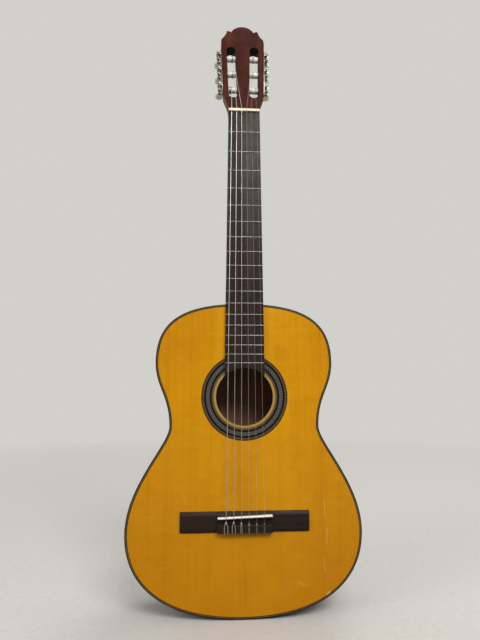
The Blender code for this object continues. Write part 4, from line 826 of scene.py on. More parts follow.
def fillet(points, radii, steps):
    """A closed (a, b) outline with rounded corners."""
    result = []
    for i, radius in enumerate(radii):
        before, corner = Vector(points[i - 1]), Vector(points[i])
        after = Vector(points[(i + 1) % len(points)])
        if radius <= 0:
            result.append((corner.x, corner.y))
            continue
        back, ahead = before - corner, after - corner
        back_length, ahead_length = back.length, ahead.length
        back, ahead = back / back_length, ahead / ahead_length
        half_angle = back.angle(ahead) / 2
        reach = min(radius / math.tan(half_angle), 0.49 * back_length, 0.49 * ahead_length)
        fitted = reach * math.tan(half_angle)
        centre = corner + (back + ahead).normalized() * (fitted / math.sin(half_angle))
        start, end = corner + back * reach - centre, corner + ahead * reach - centre
        from_angle, to_angle = math.atan2(start.y, start.x), math.atan2(end.y, end.x)
        swing = (to_angle - from_angle + math.pi) % (2 * math.pi) - math.pi
        for k in range(steps + 1):
            a = from_angle + swing * k / steps
            result.append((centre.x + fitted * math.cos(a), centre.y + fitted * math.sin(a)))
    return result


def curved(stations, steps):
    """An open path in mm through (x, y, z, reach), each corner bent over its reach."""
    points = [Vector(station[:3]) for station in stations]
    path = [points[0]]
    for before, corner, after, station in zip(points, points[1:], points[2:], stations[1:]):
        reach = min(station[3], 0.45 * (before - corner).length, 0.45 * (after - corner).length)
        start = corner + (before - corner).normalized() * reach
        end = corner + (after - corner).normalized() * reach
        for k in range(steps + 1):
            f = k / steps
            path.append(start * (1 - f) ** 2 + corner * (2 * f * (1 - f)) + end * f * f)
    path.append(points[-1])
    return path


def register(obj, body, slot, *nodes):
    """Record the body a piece rides on and hide the nodes it stands for; slot is not used."""
    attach(obj, body)
    if nodes:
        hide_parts(*nodes)


# ------------------------------------------------------------------ the body's outline
# Bezier control points (x, z) of the treble half, from the neck round to the tail
SEGMENTS = (
    ((0.0, BODY_LENGTH), (98.0, BODY_LENGTH), (140.0, 450.0), (140.0, 385.0)),
    ((140.0, 385.0), (140.0, 345.0), (117.0, 332.0), (117.0, 284.0)),
    ((117.0, 284.0), (117.0, 258.0), (182.0, 196.0), (182.0, 126.0)),
    ((182.0, 126.0), (182.0, 49.0), (119.0, 0.0), (0.0, 0.0)),
)
SEGMENT_STEPS = 34


def bezier(segment, t):
    s = 1.0 - t
    return tuple(s ** 3 * a + 3 * s * s * t * b + 3 * s * t * t * c + t ** 3 * d
                 for a, b, c, d in zip(*segment))


def bezier_slope(segment, t):
    s = 1.0 - t
    return tuple(3 * s * s * (b - a) + 6 * s * t * (c - b) + 3 * t * t * (d - c)
                 for a, b, c, d in zip(*segment))


def half_outline():
    """Points and outward normals of the treble half."""
    points, normals = [], []
    for segment in SEGMENTS:
        for step in range(SEGMENT_STEPS + (segment is SEGMENTS[-1])):
            t = step / SEGMENT_STEPS
            dx, dz = bezier_slope(segment, t)
            length = math.hypot(dx, dz)
            points.append(bezier(segment, t))
            normals.append((-dz / length, dx / length))
    normals[-1] = (0.0, -1.0)
    return points, normals


def with_mirror(pairs):
    return pairs + [(-x, z) for x, z in pairs[-2:0:-1]]


HALF, HALF_NORMALS = half_outline()
FULL, FULL_NORMALS = with_mirror(HALF), with_mirror(HALF_NORMALS)


def inset(point, normal, distance):
    return point[0] - normal[0] * distance, point[1] - normal[1] * distance


def inset_outline(distance):
    return [inset(point, normal, distance) for point, normal in zip(FULL, FULL_NORMALS)]


def arc_lengths(points, closed=True):
    lengths, total = [0.0], 0.0
    for a, b in zip(points, points[1:] + (points[:1] if closed else [])):
        total += math.hypot(b[0] - a[0], b[1] - a[1])
        lengths.append(total)
    return lengths


def sweep(name, section, mat, indices=None, side=1):
    """section(z) gives closed (inset, y) points, swept round the outline or part of one half."""
    closed = indices is None
    outline, normals = (FULL, FULL_NORMALS) if closed else (HALF, HALF_NORMALS)
    indices = list(range(len(outline)) if closed else indices)
    lengths = mm(*arc_lengths([outline[i] for i in indices], closed))
    verts = []
    for i in indices:
        for distance, y in section(outline[i][1]):
            x, z = inset(outline[i], normals[i], distance)
            verts.append(mm(side * x, y, z))
    sample = section(240.0)
    faces = skin(len(indices), len(sample), closed)
    uvs = skin_uvs(lengths, mm(*arc_lengths(sample)))
    if not closed:
        for u in (0.0, lengths[-1]):
            uvs.append(tuple((u + a * MM, b * MM) for a, b in sample))
    return add_mesh(name, verts, faces, mat, 35, SHIFT, uvs)


def index_near(x, from_tail=False, distance=0.0):
    """The first step of the inset half outline that passes x."""
    xs = [inset(point, normal, distance)[0] for point, normal in zip(HALF, HALF_NORMALS)]
    order = range(len(xs) - 1)
    for i in reversed(order) if from_tail else order:
        if min(xs[i], xs[i + 1]) <= x <= max(xs[i], xs[i + 1]):
            return i
    return 0


# ------------------------------------------------------------------ the body
ROSETTE_DEPTH = 1.1
ROSETTE = (     # name, inner and outer radius, material
    ("rosette_ring_maple", 47.5, 48.8, LINE_PALE),
    ("rosette_ring_brown", 48.8, 50.0, LINE_BROWN),
    ("rosette_ring_tan_inner", 50.0, 51.9, LINE_TAN_INNER),
    ("rosette_ring_black_inner", 51.9, 54.9, LINE_BLACK),
    ("rosette_mosaic_band", 54.9, 60.7, MOSAIC),
    ("rosette_ring_black_outer", 60.7, 63.7, LINE_BLACK),
    ("rosette_ring_tan_outer", 63.7, 66.2, LINE_TAN_OUTER),
    ("rosette_ring_brown_outer", 66.2, 68.0, LINE_DARK_BROWN),
)


def hole_loop(radius, count=128):
    angles = [math.pi / 2 + 2 * math.pi * i / count for i in range(count)]
    return [(radius * math.cos(a), HOLE_Z + radius * math.sin(a)) for a in angles]


def soundboard():
    top = slab("spruce_soundboard", [inset_outline(4.17), hole_loop(HOLE_RADIUS)],
               0.0, TOP_THICKNESS, TOP)
    groove = [hole_loop(ROSETTE[-1][2] + 0.02), hole_loop(ROSETTE[0][1] - 0.02)]
    boolean(top, slab("cut", groove, -1.0, ROSETTE_DEPTH + 0.02, None))
    tidy_flat(top, 30)
    register(top, "root", "soundboard_spruce", "soundboard")


def rosette_ring(name, inner, outer, mat, count=256):
    """A flat ring with eased upper edges; UV is (arc length, radius) in metres."""
    gap, ease, depth = 0.012, 0.05, ROSETTE_DEPTH
    section = [(inner + gap, depth), (inner + gap, ease), (inner + gap + ease, 0.0),
               (outer - gap - ease, 0.0), (outer - gap, ease), (outer - gap, depth)]
    angles = [2 * math.pi * i / count for i in range(count + 1)]
    verts = [mm(r * math.sin(a), y, HOLE_Z + r * math.cos(a))
             for a in angles[:-1] for r, y in section]
    middle = (inner + outer) / 2 * MM
    uvs = skin_uvs([a * middle for a in angles], [r * MM for r, _ in section + section[:1]])
    ring = add_mesh(name, verts, skin(count, len(section), closed=True), mat, 35, SHIFT, uvs)
    register(ring, "root", "rosette_mosaic", *(("rosette",) if mat is MOSAIC else ()))


# (inset, depth from the face it borders), with a rounded outer corner
BINDING_SECTION = [(BINDING_WIDTH, BINDING_HEIGHT), (0.0, BINDING_HEIGHT)]
BINDING_SECTION += [(BINDING_ROUND * (1 - math.cos(a)), BINDING_ROUND * (1 - math.sin(a)))
                    for a in [math.pi / 2 * k / 5 for k in range(6)]]
BINDING_SECTION += [(BINDING_WIDTH, 0.0)]


def purfling(name, inner, outer, mat):
    section = [(inner, TOP_THICKNESS), (inner, 0.0), (outer, 0.0), (outer, TOP_THICKNESS)]
    register(sweep(name, lambda z: section, mat), "root", "rosette_mosaic")


def bindings():
    front = sweep("front_binding", lambda z: BINDING_SECTION, BINDING)
    register(front, "root", "dark_binding", "top_binding")
    purfling("front_purfling_pale", BINDING_WIDTH + 0.01, 3.04, LINE_TAN)
    purfling("front_purfling_black", 3.06, 4.15, LINE_BLACK)
    rear = sweep("rear_binding",
                 lambda z: [(i, back_y(z) - depth) for i, depth in BINDING_SECTION], BINDING)
    register(rear, "root", "dark_binding", "back_binding")


def back():
    """A flat plate sheared to follow the body's taper; inside the box bare wood, paler as unfinished
    wood and also as painted light for the dim inside.
    """
    thick = 2.8
    plate = slab("mahogany_back", [inset_outline(2.25)], 0.0, thick, BACK, place=None)
    for vert in plate.data.vertices:
        depth = back_y(vert.co.z / MM) - thick
        vert.co.y = depth * MM + vert.co.y + SOUNDBOARD_Y * MM
    plate.data.update()
    plate.data.materials.append(BARE_BACK_PAINTED_LIGHT)
    for poly in plate.data.polygons:
        # the inner face: bare wood, paler partly as painted light
        if poly.normal.y < -0.9:
            poly.material_index = 1
    register(plate, "root", "side_mahogany", "back_plate")


def rib_section(z):
    top, bottom = BINDING_HEIGHT + 0.05, back_y(z) - BINDING_HEIGHT - 0.05
    return [(0.0, top), (0.0, bottom), (RIB_THICKNESS, bottom), (RIB_THICKNESS, top)]


def rib(side, label):
    first = index_near(9.3) + 1
    piece = sweep("mahogany_rib_" + label, rib_section, RIB, range(first, len(HALF)), side)
    # the two ribs meet at the tail with a hairline joint
    for vert in piece.data.vertices:
        if abs(vert.co.x) < 0.00015 and vert.co.z < 0.05:
            vert.co.x = side * 0.00012
    register(piece, "root", "side_mahogany", "rib_" + label)


def kerfed_lining(side, label, on_back):
    """A lining strip cut almost through every 7 mm so that it bends round the rib."""
    half_kerf, slope = 0.45, 0.001
    start = index_near(33.2, distance=RIB_THICKNESS) + 1
    stop = index_near(42.5, from_tail=True, distance=RIB_THICKNESS)
    points, normals = HALF[start:stop + 1], HALF_NORMALS[start:stop + 1]
    lengths = arc_lengths(points, False)
    total = lengths[-1]

    def between(pairs, i, f):
        return tuple(a + (b - a) * f for a, b in zip(pairs[i], pairs[i + 1]))

    # (distance along, whether the strip is whole there)
    count = int(total / 7.0)
    pitch = total / count
    stations = []
    for k in range(count):
        begin, last = k * pitch, k == count - 1
        stations += [(begin + slope + (half_kerf if k else 0.0), True), (begin + pitch / 2, True),
                     (total if last else begin + pitch - half_kerf, True)]
        if not last:
            stations += [(begin + pitch - half_kerf + slope, False),
                         (begin + pitch + half_kerf - slope, False)]
    verts = []
    glued = RIB_THICKNESS + 0.05
    for distance, whole in stations:
        distance = min(distance, total)
        i = 0
        while i < len(lengths) - 2 and lengths[i + 1] < distance:
            i += 1
        f = (distance - lengths[i]) / max(1e-9, lengths[i + 1] - lengths[i])
        point, normal = between(points, i, f), between(normals, i, f)
        # the plate's inner face, the way into the box, the full-width part and the whole height
        if on_back:
            face, inward, shoulder, height = back_y(point[1]) - 2.85, -1, 6.5, 14.0
        else:
            face, inward, shoulder, height = 2.55, 1, 6.0, 13.4
        depth = 6.0 if whole else RIB_THICKNESS + 1.0
        edge = RIB_THICKNESS + (1.6 if whole else 1.0)
        shoulder_y = face + inward * (shoulder if whole else shoulder + 0.5)
        end_y = face + inward * height
        for across, y in ((glued, face), (depth, face), (depth, shoulder_y), (edge, end_y),
                          (glued, end_y)):
            x, z = inset(point, normal, across)
            verts.append(mm(side * x, y, z))
    plate = "back" if on_back else "top"
    lining = add_mesh("kerfed_%s_lining_%s" % (plate, label), verts, skin(len(stations), 5),
                      LINING, 25, SHIFT)
    register(lining, "root", "block_wood", "%s_lining_%s" % (plate, label))


FRAME_FINISHES = (
    (RAW_ACROSS, ("upper_harmonic_bar", "lower_harmonic_bar", "back_bar_upper",
                  "back_bar_middle", "back_bar_lower")),
    (RAW, ("fan_brace_centre", "fan_brace_treble", "fan_brace_bass")),
    (BLOCK, ("heel_block", "tail_block")),
)


def body():
    soundboard()
    for row in ROSETTE:
        rosette_ring(*row)
    bindings()
    back()
    for side, label in SIDES:
        rib(side, label)
    for side, label in SIDES:
        kerfed_lining(side, label, on_back=False)
        kerfed_lining(side, label, on_back=True)
    for mat, nodes in FRAME_FINISHES:
        for node in nodes:
            refinish(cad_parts[node], mat)


# ------------------------------------------------------------------ bridge and saddle
SADDLE_PLACE = SHIFT @ moved(0.0, 0.0, SADDLE_Z) @ turned(-SADDLE_SLANT, "Y")


def bridge():
    low, high = BRIDGE_LOW, BRIDGE_HIGH
    # (y, z, corner radius) round the low wings and the taller middle
    wings = [(-0.05, low + 0.02, 0), (-0.05, high - 0.02, 0), (-1.8, high - 0.02, 1.2),
             (-4.0, high - 5.5, 5.0), (-4.0, low + 5.5, 5.0), (-1.8, low + 0.02, 1.2)]
    middle = [(-0.09, low - 0.01, 0), (-0.09, high + 0.01, 0), (-3.4, high + 0.01, 0.7),
              (-8.2, high - 5.2, 1.4), (-8.2, low + 20.6, 0.7), (-3.7, low + 18.4, 0.9),
              (-3.7, low + 13.2, 0.8), (TIE_TOP_Y, low + 12.0, 0.9), (TIE_TOP_Y, low + 0.3, 1.1),
              (-6.0, low - 0.01, 0)]

    def bar(name, corners, half, rounding, steps):
        outline = fillet([c[:2] for c in corners], [c[2] for c in corners], steps)
        return slab(name, [outline], -half, half, ROSEWOOD, (rounding, rounding), along="x",
                    angle=28)

    piece = bar("rosewood_bridge", wings, half=99.0, rounding=0.9, steps=5)
    boolean(piece, bar("centre", middle, half=42.0, rounding=0.35, steps=4), "UNION")
    slot = [(-20.0, -1.55), (-20.0, 1.55), (-2.8, 1.55), (-2.8, -1.55)]
    boolean(piece, slab("cut", [slot], -42.6, 42.6, None, place=SADDLE_PLACE, along="x"))
    holes = []
    for number in STRING_DIAMETER:
        x = string_x(number, SADDLE_SPREAD)
        holes.append(rod((x, TIE_HOLE_Y, low - 5.0), (x, TIE_HOLE_Y, low + 16.0), 0.9, 16))
    boolean(piece, merged(holes))
    tidy_flat(piece, 28)
    register(piece, "root", "bridge_rosewood", "bridge")


def saddle():
    half, foot = SADDLE_HALF, -2.85
    crown = -(SADDLE_TOP - half)
    loop = [(foot, -half), (foot, half), (crown, half)]
    loop += [(crown - half * math.sin(a), half * math.cos(a))
             for a in [math.pi * k / 10 for k in range(1, 10)]]
    loop += [(crown, -half)]
    piece = slab("bone_saddle", [loop], -41.8, 41.8, BONE, (0.7, 0.7), place=SADDLE_PLACE,
                 along="x", angle=40)
    register(piece, "root", "ivory", "saddle")


# ------------------------------------------------------------------ fingerboard, frets, nut
def fingerboard():
    """Its lower end follows the sound hole."""
    end_angle = math.asin(board_half(HOLE_Z + 32.0) / HOLE_RADIUS)
    arc = [(HOLE_RADIUS * math.sin(a), HOLE_Z + HOLE_RADIUS * math.cos(a))
           for a in [end_angle * (1.0 - i / 14.0) for i in range(29)]]
    board = slab("fingerboard", [[(-26.0, NUT_EDGE), (26.0, NUT_EDGE)] + arc],
                 BOARD_TOP_Y, -0.05, BOARD, (0.55, 0.0), angle=30)
    register(board, "root", "fingerboard_wood", "fretted_fingerboard")


def fret(number):
    crown, half_width, base_y, steps = 0.97, 0.80, -6.46, 10
    z = NUT_EDGE - SCALE_LENGTH * (1.0 - 2.0 ** (-number / 12.0))
    half = board_half(z) - 0.15
    # (x, share of the height, share of the width) from the bass end
    stations = [(-half, 0.18, 0.80), (-half + 0.35, 0.62, 0.92), (-half + 0.9, 0.93, 1.0),
                (-half + 1.6, 1.0, 1.0)]
    stations += [(-x, high, wide) for x, high, wide in stations[::-1]]
    verts = []
    for x, high, wide in stations:
        for k in range(steps + 1):
            a = math.pi * k / steps
            verts.append(mm(x, BOARD_TOP_Y - crown * high * math.sin(a) ** 0.9,
                            z + half_width * wide * math.cos(a)))
        verts.append(mm(x, base_y, z - half_width * wide))
        verts.append(mm(x, base_y, z + half_width * wide))
    piece = add_mesh("fret_%02d" % number, verts, skin(len(stations), steps + 3), FRET_METAL, 40,
                     SHIFT)
    register(piece, "root", "plate_nickel")


def nut():
    loop = fillet([(-0.05, NUT_Z), (-0.05, NUT_BACK), (-8.7, NUT_BACK), (-9.3, NUT_Z + 2.6),
                   (-9.3, NUT_Z)], [0, 0, 1.1, 0.5, 0.35], 4)
    piece = slab("bone_nut", [loop], -26.0, 26.0, OLD_BONE, (0.45, 0.45), along="x")
    cuts = []
    for number, diameter in STRING_DIAMETER.items():
        half = diameter / 2 + 0.14
        x = string_x(number, NUT_SPREAD)
        floor_y = NUT_SLOT_Y - half
        groove = [(x + half * math.cos(a), floor_y + half * math.sin(a))
                  for a in [math.pi * k / 8 for k in range(9)]]
        groove += [(x - half * 1.25, -12.0), (x + half * 1.25, -12.0)]
        cuts.append(slab("cut", [groove], NUT_Z - 2.0, NUT_BACK + 2.0, None, along="z"))
    boolean(piece, merged(cuts))
    tidy_flat(piece, 35)
    register(piece, "root", "ivory", "nut")


# ------------------------------------------------------------------ neck, heel and slotted head
HEEL = (     # depth y, half width, reach past the body's end
    (0.0, 29.6, 112.0), (8.0, 29.4, 108.0), (15.0, 29.0, 88.0), (22.0, 27.6, 68.0),
    (30.0, 25.6, 52.0), (40.0, 22.8, 40.0), (52.0, 19.8, 31.5), (66.0, 17.0, 25.5),
    (80.0, 14.8, 22.0), (91.2, 13.2, 20.5),
)
HEEL_DEPTH = HEEL[-1][0]
HEEL_Z = BODY_LENGTH + 0.4


def heel_at(y):
    """Half width and length of the heel at depth y, smooth through its levels."""
    depths = [level[0] for level in HEEL]
    y = min(max(y, depths[0]), depths[-1])
    i = max(k for k in range(len(depths) - 1) if depths[k] <= y)
    f = (y - depths[i]) / (depths[i + 1] - depths[i])

    def spline(column):
        a, b, c, d = [HEEL[min(max(i + step, 0), len(HEEL) - 1)][column]
                      for step in (-1, 0, 1, 2)]
        return 0.5 * (2 * b + (c - a) * f + (2 * a - 5 * b + 4 * c - d) * f * f
                      + (3 * b - a - 3 * c + d) * f ** 3)
    return spline(1), spline(2)


def neck_width(y, z):
    """Half width of the neck and heel at depth y and height z, below 0 outside."""
    half, depth = board_half(z), shaft_depth(z)
    outside = -6.0
    if y <= 2.5:
        shaft = half
    elif y < depth:
        s = ((y - 2.5) / (depth - 2.5)) ** 1.1765
        shaft = half * math.sqrt(max(0.0, 1.0 - s * s))
    else:
        shaft = outside * (y - depth)
    heel_half, length = heel_at(y)
    along = (z - BODY_LENGTH - 0.4) / (length - 0.4)
    if y <= HEEL_DEPTH and along < 1.0:
        heel = min(heel_half, half) * math.sqrt(max(0.0, 1.0 - max(0.0, along) ** 2.22))
    else:
        heel = outside
    if min(shaft, heel) < -3.0:
        return max(shaft, heel)
    # blend the two where they meet
    blend = 1.6
    gap = abs(shaft - heel)
    return max(shaft, heel) + (max(blend - gap, 0.0) ** 2) / (4.0 * blend)


def neck_section(z):
    """A closed section, flat on the fingerboard side, found by marching out from near the top."""
    half, centre_y = board_half(z), 2.2
    points = [(half, 0.0, z), (half, 2.0, z)]
    for i in range(1, NECK_ROUND_POINTS):
        a = math.pi * i / NECK_ROUND_POINTS
        # uneven steps, wider apart at the deep end of the heel
        a = a + 0.22 * math.sin(2.0 * a)
        dx, dy = math.cos(a), math.sin(a)
        near, far = 0.0, 110.0
        for _ in range(26):
            r = (near + far) / 2
            y = centre_y + r * dy
            if neck_width(y, z) > abs(r * dx) and y < HEEL_DEPTH:
                near = r
            else:
                far = r
        points.append((near * dx, min(centre_y + near * dy, HEEL_DEPTH), z))
    return points + [(-half, 2.0, z), (-half, 0.0, z)]


def shoulder(z, half, upper, bottom, square):
    """A section between the shaft's round back (square 0) and the head's flat one (square 1)."""
    edge = upper + 2.5
    across, deep = 1.0 - 0.72 * square, 0.85 - 0.60 * square
    points = [(half, upper, z), (half, upper + 2.0, z)]
    for i in range(1, NECK_ROUND_POINTS):
        a = math.pi * i / NECK_ROUND_POINTS
        c = math.cos(a)
        points.append((half * math.copysign(abs(c) ** across, c),
                       edge + (bottom - edge) * math.sin(a) ** deep, z))
    return points + [(-half, upper + 2.0, z), (-half, upper, z)]


def neck_sections():
    levels = [HEEL_Z + 1.6 * i for i in range(16)]
    levels += [BODY_LENGTH + 26.5 + 3.0 * i for i in range(1, 32)]
    z = levels[-1]
    while z < NUT_EDGE - 38.0:
        z += 14.0
        levels.append(min(z, NUT_EDGE - 26.0))
    sections = [neck_section(z) for z in levels]
    for k in range(9):
        f = k / 8.0
        square = f * f * (3.0 - 2.0 * f)
        z = NUT_EDGE - 24.0 + 24.0 * f
        sections.append(shoulder(z, board_half(z), 0.0, shaft_depth(z) - 1.6 * square, square))
    # run on into the back of the head: (distance past the nut, half width, depth)
    tilt = math.tan(math.radians(HEAD_TILT))
    for past, half, bottom in ((0.0, 26.0, 18.9), (4.5, 25.9, 19.0), (9.0, 25.6, 19.6),
                               (13.5, 25.1, 20.3)):
        upper = past * tilt + 1.0 if past else 0.0
        sections.append(shoulder(NUT_BACK - 0.5 + past, half, upper, bottom, 1.0))
    return sections


# half outline of the head (x, z in its frame) above its lower corner, up to the crest's lobes
HEAD_FLARE = [(26.08, 2.5), (26.3, 5.0), (26.8, 8.5), (27.6, 12.0), (28.7, 16.0), (30.0, 20.0),
              (31.4, 24.0), (32.8, 28.0), (34.1, 32.0), (35.0, 36.0)]
HEAD_CREST = [(38.15, 144.5), (38.2, 148.0), (38.15, 151.0), (37.9, 154.0), (37.4, 156.4),
              (36.6, 158.5), (34.6, 160.8), (32.5, 163.7), (31.0, 166.5), (29.6, 169.3),
              (28.6, 172.2)]
HEAD_TOP = 187.5


def head_loop(low):
    side = [(26.0, low)] + HEAD_FLARE
    side += [(35.0 + 3.0 * k / 5.0, 36.0 + 21.0 * k) for k in range(1, 6)]
    side += HEAD_CREST
    for i in range(9):
        a = math.radians(-10.0 + 130.0 * i / 8.0)
        side.append((25.4 + 3.0 * math.cos(a), 174.0 + 3.0 * math.sin(a)))
    # the arched top between the lobes
    arch_half, rise = 20.0, HEAD_TOP - 174.5
    radius = (arch_half ** 2 + rise ** 2) / (2.0 * rise)
    end_angle = math.asin(arch_half / radius)
    for i in range(18):
        a = end_angle * (1.0 - i / 18.0)
        side.append((radius * math.sin(a), HEAD_TOP - radius + radius * math.cos(a)))
    return side + [(0.0, HEAD_TOP)] + [(-x, z) for x, z in side[::-1]]


def slot_loop(side, steps=14):
    """A round-ended slot through the head, beside that side's machine; in the head's frame."""
    near, far, high, low = 9.5, 25.0, 54.5, -58.0
    centre, radius = -side * (near + far) / 2.0, (far - near) / 2.0
    angles = [math.pi * i / steps for i in range(steps + 1)]
    points = [(centre + radius * math.cos(a), high - radius + radius * math.sin(a))
              for a in angles]
    points += [(centre - radius * math.cos(a), low + radius - radius * math.sin(a))
               for a in angles]
    # from the machine's frame to the head's
    c, s = math.cos(-side * SIDE_ANGLE), math.sin(-side * SIDE_ANGLE)
    edge = side * head_half(MACHINE_Z)
    return [(edge + x * c - z * s, MACHINE_Z + x * s + z * c) for x, z in points]


def paint_slot_shade(obj, low_y, high_y):
    """Give the walls of the head's two slots a near-black finish: painted shade for the shadow
    inside them.
    """
    obj.data.materials.append(SLOT_PAINTED_SHADE)
    index = len(obj.data.materials) - 1
    to_head = HEAD_WORLD.inverted()
    turn = to_head.to_3x3()
    edges = []
    for loop in (slot_loop(1), slot_loop(-1)):
        edges += list(zip(loop, loop[1:] + loop[:1]))
    for poly in obj.data.polygons:
        centre = to_head @ poly.center
        normal = turn @ poly.normal
        if abs(normal.y) > 0.15 or not low_y < centre.y / MM < high_y:
            continue
        x, z = centre.x / MM, centre.z / MM
        nearest = 9.0
        for (ax, az), (bx, bz) in edges:
            dx, dz = bx - ax, bz - az
            t = ((x - ax) * dx + (z - az) * dz) / (dx * dx + dz * dz + 1e-12)
            t = max(0.0, min(1.0, t))
            nearest = min(nearest, math.hypot(x - ax - t * dx, z - az - t * dz))
        if nearest < 0.12:
            poly.material_index = index


def neck():
    """Shaft, heel, slotted head and tenon in one, drilled for the rollers."""
    sections = neck_sections()
    verts = [Vector(point) * MM for section in sections for point in section]
    piece = add_mesh("mahogany_neck", verts, skin(len(sections), len(sections[0])), NECK, 35,
                     SHIFT)
    head = slab("head", [head_loop(0.25), slot_loop(1), slot_loop(-1)], 2.05, 19.5, NECK,
                (0.0, 1.5), steps=4, place=HEAD_WORLD)
    boolean(piece, head, "UNION")
    low, high = BODY_LENGTH - 14.0, BODY_LENGTH + 4.0
    tenon = slab("tenon", [[(-9.0, low), (9.0, low), (9.0, high), (-9.0, high)]], 8.0, 80.0, NECK)
    boolean(piece, tenon, "UNION")
    drills = []
    for side, _ in SIDES:
        for k in (-1, 0, 1):
            # (start x, end x, radius) of the bores for the journal and the pivot
            for start, end, radius in ((5.0, -22.0, 2.5), (-22.5, -32.4, 3.4)):
                drills.append(rod((side * start, ROLLER_DEPTH, k * POST_PITCH),
                                  (side * end, ROLLER_DEPTH, k * POST_PITCH), radius, 24,
                                  MACHINE_WORLD[side]))
    boolean(piece, merged(drills))
    tidy_flat(piece, 32)
    # the slot walls take the near-black painted shade
    paint_slot_shade(piece, 1.9, 19.6)
    modifier = piece.modifiers.new("weighted_normals", "WEIGHTED_NORMAL")
    modifier.keep_sharp = True
    modifier.weight = 80
    register(piece, "root", "neck_mahogany", "neck")


def head_face():
    face = slab("head_faceplate", [head_loop(0.55), slot_loop(1), slot_loop(-1)], 0.0, 2.0, FACE,
                (0.5, 0.0), place=HEAD_WORLD, angle=32)
    # the slot walls take the near-black painted shade
    paint_slot_shade(face, 0.55, 2.05)
    register(face, "root", "head_veneer", "headstock_faceplate")


def heel_cap():
    angles = [math.pi * i / 32 for i in range(33)]
    loop = [(13.2 * math.cos(a), HEEL_Z + 20.1 * math.sin(a) ** 0.9) for a in angles]
    cap = slab("ebony_heel_cap", [loop], 91.25, back_y(BODY_LENGTH + 20.0), CAP, (0.0, 0.45))
    register(cap, "root", "dark_binding", "heel_cap")


# ------------------------------------------------------------------ tuning machines
PLATE_OUT = 1.25                                # outer face from the head's edge
PLATE_SCREW_Z = (52.0, 26.5, -10.5, -42.0)
OUTWARD = {side: turned(side * 90.0, "Y") for side in (1, -1)}      # turns Z away from the head
TO_Y = turned(-90.0, "X")                                           # turns Z to Y
HERE = Matrix.Identity(4)


def plate_loop():
    """(y, z) of a long plate whose ends step in to a half round."""
    middle, half, step, radius = 9.5, 6.5, 1.6, 4.3
    loop = []
    for end, z in ((1, 47.0), (-1, -37.0)):
        loop += [(middle + end * half, z), (middle + end * (half - step), z + end * 3.0)]
        for i in range(13):
            a = math.pi * i / 12
            loop.append((middle + end * radius * math.cos(a),
                         z + end * 4.7 + end * radius * math.sin(a)))
        loop += [(middle - end * (half - step), z + end * 3.0), (middle - end * half, z)]
    return loop


def screw(name, place, radius=1.7, height=0.85, mat=NICKEL):
    """A slotted round head; z is out of the surface."""
    rim = 0.12
    profile = [(0.0, -0.25), (radius * 0.8, -0.25), (radius * 0.92, 0.0), (radius, rim)]
    profile += [(radius * math.cos(a), rim + (height - rim) * math.sin(a))
                for a in [math.pi / 2 * k / 6 for k in range(1, 6)]] + [(0.0, height)]
    piece = lathe(name, profile, 28, mat, place, 32)
    slot = [(-0.22, -4.0), (0.22, -4.0), (0.22, 4.0), (-0.22, 4.0)]
    boolean(piece, slab("cut", [slot], height - 0.42, height + 1.0, None,
                        place=place @ turned(25, "Z"), along="z"))
    tidy_flat(piece, 32)
    return piece


def machine_plate(side, label):
    """The nickel plate with two lugs to hold each worm, and its screws."""
    place = MACHINE_WORLD[side]
    start, end = sorted((side * 0.05, side * PLATE_OUT))
    plate = slab("nickel_plate_" + label, [plate_loop()], start, end, NICKEL, (0.22, 0.22),
                 steps=2, place=place, along="x", angle=30)
    root, radius = 0.7, 3.0
    lugs, bores = [], []
    for k in (-1, 0, 1):
        z = k * POST_PITCH + WORM_OFFSET
        for y0, y1 in ((3.1, 4.2), (14.8, 16.4)):
            loop = [(side * root, z - radius), (side * WORM_OUT, z - radius)]
            loop += [(side * (WORM_OUT + radius * math.sin(a)), z - radius * math.cos(a))
                     for a in [math.pi * i / 12 for i in range(1, 12)]]
            loop += [(side * WORM_OUT, z + radius), (side * root, z + radius)]
            lugs.append(slab("lug", [loop], y0, y1, NICKEL, (0.14, 0.14), steps=2, place=place,
                             angle=30))
    boolean(plate, merged(lugs), "UNION")
    for k in (-1, 0, 1):
        post_z = k * POST_PITCH
        worm_x, worm_z = side * WORM_OUT, post_z + WORM_OFFSET
        bores.append(rod((worm_x, -5.0, worm_z), (worm_x, 25.0, worm_z), 1.72, 24, place))
        bores.append(rod((-side * 5.0, ROLLER_DEPTH, post_z), (side * 3.0, ROLLER_DEPTH, post_z),
                         2.45, 24, place))
    boolean(plate, merged(bores))
    refinish(plate, NICKEL)
    tidy_flat(plate, 30)
    register(plate, "root", "plate_nickel", "tuner_plate_" + label)
    for number, z in enumerate(PLATE_SCREW_Z, 1):
        where = place @ moved(side * PLATE_OUT, 9.5, z) @ OUTWARD[side]
        register(screw("plate_screw_%s_%d" % (label, number), where), "root", "plate_nickel")


WORM_PROFILE = [     # radius, height over the head's face, from the button end
    (0.0, 28.6), (1.1, 28.6), (1.35, 28.35), (1.35, 20.6), (1.9, 20.4), (2.1, 20.1), (2.1, 16.9),
    (1.95, 16.7), (1.45, 16.6), (1.45, 14.65), (2.3, 14.5), (2.3, 4.5), (1.45, 4.35),
    (1.45, 2.4), (1.8, 2.3), (1.95, 2.1), (1.95, 1.5), (1.6, 1.0), (1.0, 0.8), (0.0, 0.75)]


